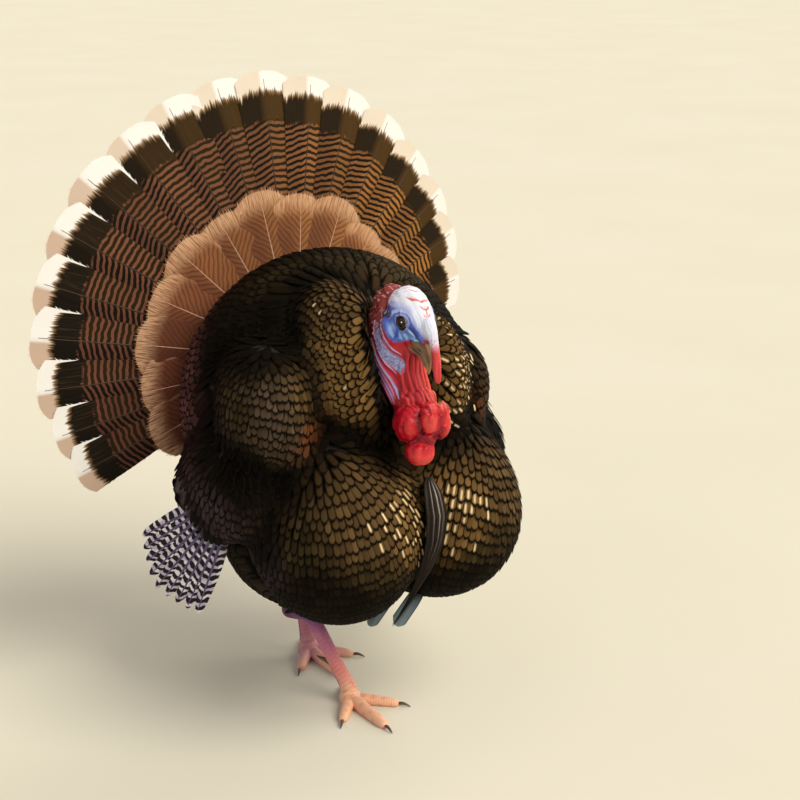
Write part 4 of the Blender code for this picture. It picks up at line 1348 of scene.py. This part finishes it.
# lobe, the piece it goes to, pole; in millimetres: between rows, between feathers, length, half width, height
PAIRED_ROWS = (
    ("breast", "breast_feathers", (0.16, -0.12, 0.96), 15, 9.2, 37, 5.9, COAT_MM),
    ("neck_ruff", "ruff_feathers", (-0.70, -0.10, 0.70), 12.2, 9.8, 30, 6.4, COAT_MM),
    ("wing_shoulder", "ruff_feathers", (-0.10, 0.05, 0.98), 13, 9.4, 33, 6.1, COAT_MM),
    ("wing_coverts", "wing_feathers", (0, -0.35, 0.93), 16, 9, 40, 6, COAT_MM),
    ("thigh", "belly_feathers", (0, -0.2, 0.98), 8.5, 8.5, 24, 6.8, 6),
)
MIDDLE_ROWS = (
    ("mantle", "mantle_feathers", (0, -0.50, 0.86), 16.5, 10.5, 42, 7.2, COAT_MM),
    ("belly", "belly_feathers", (0, -0.9, 0.3), 15, 11, 38, 9, COAT_MM),
    ("rump", "belly_feathers", (0, -0.35, 0.94), 15, 11.5, 40, 9.5, COAT_MM),
)
PLAIN_TINTS = {"thigh": belly_tint, "belly": belly_tint, "rump": rump_tint}


def build_coat(coat):
    """Contour feathers of the whole trunk and the folded secondaries, in a few joined pieces."""
    fine, body = vane_template(6, 6, fringe=5, seed=1, reach=0.05), contour_material()
    pieces = {f"{part}_feathers": [] for part in ("breast", "mantle", "ruff", "wing", "belly")}
    charts = dict.fromkeys(pieces, 0)
    lobes = [(f"{lobe}_{tag}", lobe, piece, (s * pole[0], *pole[1:]), *sizes)
             for tag, s in SIDES.items() for lobe, piece, pole, *sizes in PAIRED_ROWS]
    lobes += [(lobe, lobe, *rest) for lobe, *rest in MIDDLE_ROWS]
    for node, lobe, piece, pole, *sizes in lobes:
        # each lobe has a quarter by a quarter of its piece's bake map
        k = charts[piece]
        charts[piece] += 1
        chart = (0.01 + 0.25 * (k % 4), 0.01 + 0.25 * (k // 4), 0.235, 0.235)
        tint = PLAIN_TINTS.get(lobe) or crease_shaded(coat, node)
        pieces[piece] += coat.sow(node, pole, *sizes, tint, chart)
    for name, made in pieces.items():
        grow_vanes(name, fine, packed(made), [body], CONTOUR_LOOK)
    build_secondaries(coat)
    grow_vanes("filler_feathers", fine, packed(coat.fill()), [body], CONTOUR_LOOK)


def build_secondaries(coat):
    """Long folded feathers over the rolled edge of each wing."""
    shape = vane_template(8, 14, fringe=8, shaft=12, seed=3, reach=0.03)
    vane, made = plain_vane_material("folded_feather", 0.42), []
    dark = shaft_material("dark_shaft", (0.035, 0.022, 0.022))
    for k, tag in enumerate(SIDES):
        chart = (0.01 + 0.5 * k, 0.01, 0.45, 0.9)
        node, pole = f"wing_secondaries_{tag}", (0, -0.80, 0.60)
        made += coat.sow(node, pole, 20, 15, 66, 12.5, COAT_MM + 2, folded_tint, chart)
    look = dict(CONTOUR_LOOK, round=0.16, cup=0.32, thick=0.0009)
    grow_vanes("secondary_feathers", shape, packed(made), [vane, dark], look)


def fan_frame():
    roll = math.radians(TAIL["roll"])
    return (
        Vector((math.sin(roll), 0, math.cos(roll))), Vector((math.cos(roll), 0, -math.sin(roll))),
        Vector((0, -1, 0)),
    )


def atlas(count, across):
    """Bake cells side by side for large feathers."""
    down = math.ceil(count / across)
    spots = [((k % across + 0.04) / across, (k // across + 0.04) / down) for k in range(count)]
    return np.array(spots), np.tile(np.array((0.92 / across, 0.92 / down)), (count, 1))


def fan_row(count, half_angle, start, reach, lead, spread, tint, band=None, seed=5):
    """Feathers round the tail's root: start and reach are distances from it, lead how far in front of it."""
    up, right, front = fan_frame()
    lean = math.radians(TAIL["lean"])
    dice = np.random.default_rng(seed)
    feathers, offs = [], [2 * (k + 0.5) / count - 1 for k in range(count)]
    for k, off in enumerate(offs):
        angle = math.radians(half_angle * off + dice.uniform(-0.5, 0.5))
        spoke = up * math.cos(angle) + right * math.sin(angle)
        way = spoke * math.cos(lean) - front * math.sin(lean)
        facing = front * math.cos(lean) + spoke * math.sin(lean)
        base = TAIL["root"] + facing * (lead - TAIL["tuck"] * abs(k - (count - 1) / 2))
        length = reach(off) * dice.uniform(0.99, 1.004)
        feathers.append((
            base + way * start, base + way * ((start + length) / 2) + facing * 0.002, base + way * length,
            facing, facing, tilted(way.cross(facing), facing, -2.2 if off > 0 else 2.2),
            length * math.radians(half_angle / count) * spread, tint(off, dice), dice.uniform(),
        ))
    rows = stacked(feathers)
    if band is not None:
        rows["band"] = np.array([band(off) for off in offs])
    return rows


def rectrix_tint(off, dice):
    """Rosy brown on the bird's right, through to golden brown on its left, partly painted light on the fan's
    lit side.
    """
    channels = ((0.125, 0.20, 0.36), (0.043, 0.082, 0.150), (0.031, 0.039, 0.034))
    tone = np.array([np.interp(off, (-0.9, 0.05, 0.7), channel) for channel in channels])
    return tone * dice.uniform(0.80, 1.18)


# the dark band turns golden towards the bird's left, partly painted light on the fan's lit side
def rectrix_band(off):
    return between(float(ease(off, -0.6, 0.3)), (0.009, 0.006, 0.003), (0.060, 0.030, 0.006))


def covert_tint(off, dice):
    # rosy on the bird's right to golden on its left, partly painted light on the fan's lit side
    rosy, golden = (0.140, 0.042, 0.024), (0.33, 0.135, 0.044)
    return between(float(ease(off, -0.8, 0.3)), rosy, golden) * dice.uniform(0.80, 1.15)


def rectrix_reach(off):
    """Shorter towards the sides, the bird's right side most."""
    drop = TAIL["long"] - TAIL["short"]
    return TAIL["long"] - drop * off * off - 0.010 * float(ease(off, -0.3, -0.8))


def covert_reach(off):
    return 0.234 - 0.010 * off * off + 0.004 * math.sin(off * 19)


def long_under_reach(off):
    return 0.190 + 0.012 * math.sin(off * 31)


def short_under_reach(off):
    return 0.150 + 0.010 * math.sin(off * 27)


def build_tail():
    dark = shaft_material("tail_shaft", (0.045, 0.022, 0.012))
    pale = shaft_material("covert_shaft", (0.62, 0.36, 0.24))
    count, half = TAIL["feathers"], TAIL["half"]
    shape = vane_template(22, 46, fringe=44, side_fringe=20, shaft=30, seed=11, reach=0.012)
    look = {"root": 0.10, "full": 1.0, "fan": True, "round": 0.045, "power": 3.0, "cup": -0.02, "fold": 0.085,
            "thick": 0.0020, "ripple": 0.0005}
    rows = fan_row(count, half, 0.035, rectrix_reach, 0.0, 1.16, rectrix_tint, rectrix_band)
    rows["bake"], rows["bake_size"] = atlas(count, 6)
    rectrices = grow_vanes("tail_feathers", shape, rows, [rectrix_material(), dark], look)
    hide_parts("tail_fan")
    shape = vane_template(18, 30, fringe=40, side_fringe=16, shaft=24, seed=12, reach=0.035)
    look = {"root": 0.22, "full": 0.75, "round": 0.11, "power": 2.4, "cup": 0.02, "fold": 0.07,
            "thick": 0.0017, "ripple": 0.0004}
    rows = fan_row(12, half + 4, 0.05, covert_reach, 0.0075, 1.22, covert_tint, seed=6)
    rows["bake"], rows["bake_size"] = atlas(12, 4)
    rufous = rufous_material()
    coverts = grow_vanes("tail_covert_feathers", shape, rows, [rufous, pale], look)
    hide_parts("tail_coverts")
    # under tail coverts, behind the fan
    long = fan_row(16, 88, 0.04, long_under_reach, -0.0100, 1.3, covert_tint, seed=9)
    short = fan_row(14, 84, 0.04, short_under_reach, -0.0150, 1.3, covert_tint, seed=10)
    rows = {k: np.concatenate([long[k], short[k]]) for k in long}
    for key in ("facing", "facing_tip", "side"):
        rows[key] = -rows[key]
    rows["tint"] *= 0.55
    rows["bake"], rows["bake_size"] = atlas(30, 6)
    grow_vanes("under_tail_feathers", shape, rows, [rufous, pale], look)


WING = {"root": (0.200, 0.135, 0.355), "tuck": {"right": 0.0, "left": 0.016}, "long": 0.238, "quills": 9}


def build_quills():
    """Primaries of both wings, lowered and fanned."""
    slate = shaft_material("quill_shaft", (0.10, 0.085, 0.19))
    shape = vane_template(12, 36, fringe=12, side_fringe=14, shaft=26, seed=13, reach=0.02)
    look = {"root": 0.40, "full": 0.45, "round": 0.10, "power": 2.0, "cup": 0.05, "fold": 0.16,
            "thick": 0.0030, "taper": 0.34}
    vane, count = quill_material(), WING["quills"]
    for tag, s in SIDES.items():
        down = Vector((0.14 * s, 0.62, -0.77)).normalized()
        face = Vector((s * 0.86, -0.42, -0.12))
        face = (face - down * face.dot(down)).normalized()
        across = down.cross(face)
        across = across if across.z > 0 else -across
        x, y, z = WING["root"]
        root = bird(s * x - s * WING["tuck"][tag], y, z)
        feathers = []
        for k in range(count):
            angle = math.radians(-17 + 39 * (k + 0.5) / count)
            way = down * math.cos(angle) + across * math.sin(angle)
            length = WING["long"] * (1 - 0.018 * abs(k - 4.5) - 0.03 * max(0, k - 4))
            base = root + face * (0.0007 * (4 - k))
            feathers.append((
                base + way * 0.06, base + way * (0.03 + length / 2) + face * 0.002,
                base + way * length + face * 0.012, face, (face + way * -0.1).normalized(),
                tilted(way.cross(face).normalized(), face, 5), 0.0118, (1.0, 1.0, 1.0), rng.uniform(),
            ))
        rows = stacked(feathers)
        rows["bake"], rows["bake_size"] = atlas(count, 3)
        quills = grow_vanes(f"wing_quills_{tag}", shape, rows, [vane, slate], look)
        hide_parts(f"wing_primaries_{tag}")


SLATE_FEATHERS = (  # root, tip, half width, under the belly
    ((0.015, 0.090, 0.186), (-0.0560, 0.055, 0.1560), 0.0085),
    ((0.055, 0.080, 0.186), (-0.0270, 0.036, 0.1560), 0.0100),
)
SLATE_GREY = (0.115, 0.150, 0.165)


def build_slate():
    """Broad grey feathers that show under the breast."""
    shape = vane_template(10, 20, fringe=10, shaft=16, seed=15, reach=0.02)
    materials = [plain_vane_material("slate_feather", 0.5), shaft_material("slate_shaft", (0.05, 0.06, 0.07))]
    feathers = []
    for root, tip, half in SLATE_FEATHERS:
        root, tip = bird(*root), bird(*tip)
        facing = Vector((-0.45, -0.78, 0.42))
        way = (tip - root).normalized()
        facing = (facing - way * facing.dot(way)).normalized()
        bend = (root + tip) / 2 + facing * 0.004
        feathers.append((root, bend, tip, facing, facing, way.cross(facing), half, SLATE_GREY, rng.uniform()))
    rows = stacked(feathers)
    rows["bake"], rows["bake_size"] = atlas(len(SLATE_FEATHERS), 2)
    look = dict(CONTOUR_LOOK, round=0.12, cup=0.10, thick=0.0012)
    grow_vanes("slate_feathers", shape, rows, materials, look)


# --- bristles ---
def grow_strands(name, paths, radii, tints, mat, bake=None):
    """Tapered three-sided strands along paths of equal point count, as one mesh; a tint for each point."""
    paths, sides = np.array(paths, float), 3
    count, steps = paths.shape[:2]
    ways = unit(np.gradient(paths, axis=1))
    ref = unit(np.cross(ways, np.array((0.3, 0.9, 0.2))))
    other = np.cross(ways, ref)
    turn = (np.arange(sides) * 2 * np.pi / sides)[None, None, :, None]
    ring = ref[:, :, None, :] * np.cos(turn) + other[:, :, None, :] * np.sin(turn)
    points = paths[:, :, None, :] + ring * np.array(radii)[:, :, None, None]
    one = []
    for i in range(steps - 1):
        for j in range(sides):
            k = (j + 1) % sides
            one += [i * sides + j, i * sides + k, (i + 1) * sides + k, (i + 1) * sides + j]
    loops = (np.array(one) + (np.arange(count) * steps * sides)[:, None]).ravel()
    starts = np.arange(len(loops) // 4) * 4
    piece = write_mesh(name, points.reshape(-1, 3), loops, starts, [mat])
    tints = with_alpha(np.repeat(np.reshape(tints, (-1, 3)), sides, 0))
    put_attribute(piece.data, "Tint", "FLOAT_COLOR", "color", tints)
    if bake is None:
        down = math.ceil(count / 20)
        bake = np.stack([(np.arange(count) % 20) / 20, (np.arange(count) // 20) / down], 1)
    round_, along = np.tile(np.arange(sides) / sides, steps), np.repeat(np.arange(steps) / steps, sides)
    place = np.tile(np.stack([round_, along], 1), (count, 1))
    put_map(piece.data, "OFBake", (np.repeat(bake, steps * sides, 0) + place * PATCH)[loops])
    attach(piece, "root")
    return piece


TRIED_BRISTLES = 5200  # most fall where no bristles grow


def build_bristles(head_tree, mat):
    """Sparse hair-like feathers on the nape, the hind crown and round the ears."""
    paths, tints, bake = [], [], []
    centre, t = at_head(0, 12, -4), np.linspace(0, 1, 5)[:, None]
    for _ in range(TRIED_BRISTLES):
        phi, up = rng.uniform(-math.pi, math.pi), rng.uniform(-1, 1)
        flat = math.sqrt(1 - up * up)
        way = Vector((flat * math.sin(phi), flat * math.cos(phi), up))
        hit, normal, _, _ = head_tree.ray_cast(centre + way * 0.2, -way, 0.2)
        if hit is None:
            continue
        _, y, z = in_head(np.array(hit))
        nape = ease(y, 20, 30) * ease(z, -70, -30)
        crown = 0.35 * ease(y, 4, 20) * ease(z, 10, 16)
        ear = 0.9 * math.exp(-((y - 23.5) ** 2 + (z - 7.5) ** 2) / 5**2)
        if rng.uniform() > max(nape, crown, ear):
            continue
        lie = Vector((rng.uniform(-0.25, 0.25), 0.55, -0.80))
        lie = np.array((lie - normal * lie.dot(normal)).normalized())
        length = rng.uniform(3.5, 7.5) * HEAD_MM
        lift = 0.0012 * np.sin(t * 2.2) - 0.0003
        paths.append(np.array(hit) + lie * length * t + np.array(normal) * lift)
        tints.append((0.50, 0.20, 0.18) if rng.uniform() < 0.35 else (0.030, 0.012, 0.012))
        bake.append((0.98 * (phi / math.tau + 0.5), 0.98 * (up + 1) / 2))
    radii = np.tile(0.00017 * (1 - 0.7 * t.T**2), (len(paths), 1))
    tints = np.repeat(np.array(tints)[:, None], len(t), 1)
    grow_strands("head_bristles", paths, radii, tints, mat, np.array(bake))


BEARD_ROUTE = (
    (0.0080, 0.0160, 0.360), (0.0085, 0.0040, 0.344), (0.0098, -0.0080, 0.316), (0.0040, -0.0150, 0.284),
    (-0.0145, -0.0150, 0.245), (-0.0368, -0.0090, 0.209), (-0.0580, 0.0000, 0.176),
)
BEARD_BRISTLES = 420
DARK, SHEEN, LOW_SHEEN = np.array(((0.016, 0.011, 0.007), (0.84, 0.76, 0.68), (0.20, 0.12, 0.14)))


def build_beard(mat):
    """A brush of coarse bristles hanging from the crease between the breasts."""
    route = np.array([tuple(bird(*p)) for p in BEARD_ROUTE])
    knots, t = np.linspace(0, 1, len(route)), np.linspace(0, 1, 14)
    for _ in range(2):
        route[1:-1] = (route[:-2] + 4 * route[1:-1] + route[2:]) / 6
    paths, radii, tints = [], [], []
    for _ in range(BEARD_BRISTLES):
        across, out = rng.uniform(-1, 1), rng.uniform(0, 1)
        s = t * (rng.uniform(0.66, 1.0) if abs(across) > 0.5 else rng.uniform(0.82, 1.0))
        centre = np.stack([np.interp(s, knots, route[:, i]) for i in range(3)], 1)
        wide = 0.0030 + 0.0145 * np.sin(np.pi * np.clip(s, 0, 1) ** 0.72) ** 1.1 * (1 - 0.35 * s)
        wide *= 1 - 0.72 * ease(s, 0.50, 1.0)
        deep = 0.0060 * (1 - 0.75 * s)
        bow = 0.0014 * np.sin(s * 7 + across * 5 + out * 6) * s
        centre[:, 0] += across * wide + bow
        centre[:, 1] -= out * deep * np.sqrt(np.maximum(1 - across**2, 0)) + 0.001
        paths.append(centre)
        radii.append(0.00048 * (1 - 0.8 * t**2))
        # painted sheen: pale locks down the middle of the upper beard, fading to dark at the sides and
        # towards the tip
        lock = float(ease(math.sin(across * 13 + 0.6 * out), 0.1, 0.9)) * rng.uniform(0.5, 1.0)
        light = math.exp(-((across - 0.05) / 0.62) ** 2) * (0.03 + 0.97 * lock)
        light = (light * ease(t, 0.02, 0.12) * ease(t, 0.85, 0.20))[:, None]
        sheen = SHEEN * (1 - t[:, None]) ** 1.5 + LOW_SHEEN * t[:, None]
        tints.append(between(light, DARK, sheen))
    beard = grow_strands("beard_bristles", paths, radii, np.array(tints), mat)
    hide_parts("beard")


# --- head pieces ---
def smooth_copy(name, node, levels, material, shape=None):
    """A CAD node's surface rounded into a finished piece."""
    bm = cad_copy([node])
    mesh = bpy.data.meshes.new(name)
    bm.to_mesh(mesh)
    bm.free()
    piece = new_object(name, mesh)
    mod = piece.modifiers.new("round", "SUBSURF")
    mod.levels = mod.render_levels = levels
    settled(piece)
    mesh = piece.data
    mesh.materials.clear()
    mesh.materials.append(material)
    mesh.polygons.foreach_set("use_smooth", np.ones(len(mesh.polygons), bool))
    points = places(mesh)
    paint = np.ones((len(points), 3))
    if shape is not None:
        moved, paint = shape(points, bearings(mesh))
        put_places(mesh, moved)
    put_attribute(mesh, "Paint", "FLOAT_COLOR", "color", with_alpha(paint))
    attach(piece, "root")
    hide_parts(node)


def bill_shape(points, facing):
    """Slimmer and shorter than its solid, with a nostril, a paler ridge and tip, and a brown cutting edge."""
    x, y, z = in_head(points).T
    slope = math.radians(55)
    along = -y * math.cos(slope) - z * math.sin(slope)
    height = z * math.cos(slope) - y * math.sin(slope)
    hole = ease(np.hypot((along - 34) / 5, (height + 5.5) / 1.8), 1.0, 0.5)
    grooves = 0.1 * np.sin(along * 5.2) * ease(along, 50, 30)
    moved = points + facing * ((grooves - hole) * MM)[:, None]
    root = np.array(at_head(0, -15, -15))
    way = np.array((0, -math.cos(slope), -math.sin(slope)))
    off = moved - root
    gone = off @ way
    flat = off - gone[:, None] * way
    shorter = gone * (1 - 0.13 * ease(gone, 0.0, 0.03))
    slimmer = 1 - 0.30 * ease(gone, 0.004, 0.022)
    moved = root + way * shorter[:, None] + flat * slimmer[:, None]
    paint = np.ones((len(points), 3))
    paint = layer(paint, ease(np.abs(x), 2.8, 0.8) * 0.8, (1.9, 1.8, 1.6))
    paint = layer(paint, ease(along, 50, 64) * 0.7, (2.0, 1.9, 1.7))
    paint = layer(paint, ease(np.abs(height + 4.5), 3.2, 1.2) * 0.6, (0.62, 0.42, 0.30))
    return moved, layer(paint, hole, (0.08, 0.07, 0.07))


def eye_shape(points, _):
    """Pupil, brown iris and dark rim by distance from the eye's outward axis; centred on a true sphere."""
    side = np.where(points[:, 0] > EYES.x, 1.0, -1.0)

    def beside(out, y, z):
        """Three numbers for every point, the first of them changing sign with the side."""
        return np.stack([side * out, np.full(len(points), y), np.full(len(points), z)], 1)

    centre = beside(middle("eye_left").x - EYES.x - EYEBALL["inward"], EYES.y, EYES.z) + (EYES.x, 0, 0)
    arm = unit(points - centre)
    # degrees from the middle of the pupil
    off = np.degrees(np.arccos(np.clip((arm * unit(beside(1, -0.40, 0.02))).sum(1), -1, 1)))
    paint = np.tile(np.array((0.060, 0.024, 0.009)), (len(points), 1))
    paint = layer(paint, ease(off, 30, 25), (0.0010, 0.0008, 0.0008))
    paint = layer(paint, ease(off, 36, 44), (0.014, 0.007, 0.006))
    # a small pale spot, a painted highlight
    off = np.degrees(np.arccos(np.clip((arm * unit(beside(1, -0.44, 0.25))).sum(1), -1, 1)))
    paint = layer(paint, ease(off, 6.5, 4.5), (1.0, 0.96, 0.90))
    return centre + arm * EYEBALL["radius"], paint


def build_hard_parts():
    horn = horn_material("bill_horn", (0.105, 0.056, 0.024), (0.27, 0.160, 0.075), 0.32)
    claw = horn_material("claw_horn", (0.050, 0.026, 0.020), (0.14, 0.085, 0.060), 0.30)
    eye = eye_material()
    smooth_copy("bill_top", "bill_upper", 3, horn, shape=bill_shape)
    smooth_copy("bill_under", "bill_lower", 3, horn, shape=bill_shape)
    for tag in SIDES:
        smooth_copy(f"eyeball_{tag}", f"eye_{tag}", 3, eye, shape=eye_shape)
        smooth_copy(f"spur_horn_{tag}", f"spur_{tag}", 2, claw)
        for toe in TOES:
            smooth_copy(f"claw_tip_{toe}_{tag}", f"claw_{toe}_{tag}", 2, claw)


# --- stage ---
def build_stage():
    bm = bmesh.new()
    bmesh.ops.create_circle(bm, cap_ends=True, segments=64, radius=60)
    mesh = bpy.data.meshes.new("floor")
    bm.to_mesh(mesh)
    bm.free()
    floor = new_object("floor", mesh)
    net = Net("floor_paint")
    tone = net.noise(net.place(), 1.5, 4)
    paint = net.blend(tone, (0.66, 0.635, 0.52), (0.71, 0.69, 0.60))
    mesh.materials.append(net.done(paint, 0.9, specular_ior_level=0.0))


def build_light():
    world = bpy.data.worlds.new("studio")
    bpy.context.scene.world = world
    world.use_nodes = True
    sky = next(n for n in world.node_tree.nodes if n.type == "BACKGROUND")
    sky.inputs["Color"].default_value = (1.0, 0.95, 0.88, 1.0)
    sky.inputs["Strength"].default_value = 0.48
    suns = (  # where each light comes from, strength, softness in degrees, colour
        ("key", (0.393, -1.007, 1.10), 2.8, 42, (1.0, 0.93, 0.80)),
        ("rim", (1.11, 0.30, 0.70), 1.1, 42, (1.0, 0.90, 0.74)),
        ("fill", (-1.6, -0.5, 0.7), 0.35, 40, (0.74, 0.72, 1.0)),
    )
    for name, way, power, softness, colour in suns:
        light = bpy.data.lights.new(name, "SUN")
        light.energy, light.angle, light.color = power, math.radians(softness), colour
        lamp = bpy.data.objects.new(name, light)
        bpy.context.scene.collection.objects.link(lamp)
        lamp.location = way
        lamp.rotation_euler = (-Vector(way)).to_track_quat("-Z", "Y").to_euler()


def build_camera():
    turn, away, height = math.radians(-35), 2.0, 1.06
    look = bird(-0.045, 0, 0.475)
    camera = bpy.data.objects.new("camera", bpy.data.cameras.new("camera"))
    camera.data.lens = 76.05
    camera.data.sensor_width = 36
    camera.location = (look.x + away * math.sin(turn), look.y - away * math.cos(turn), height)
    camera.rotation_euler = (look - camera.location).to_track_quat("-Z", "Y").to_euler()
    bpy.context.scene.collection.objects.link(camera)
    bpy.context.scene.camera = camera


coat = build_skin()
build_coat(coat)
build_tail()
build_quills()
build_slate()
bristles = bristle_material()
build_bristles(coat.head, bristles)
build_beard(bristles)
build_hard_parts()
build_stage()
build_light()
build_camera()
bpy.context.scene.view_settings.view_transform = "Standard"
bpy.context.view_layer.update()
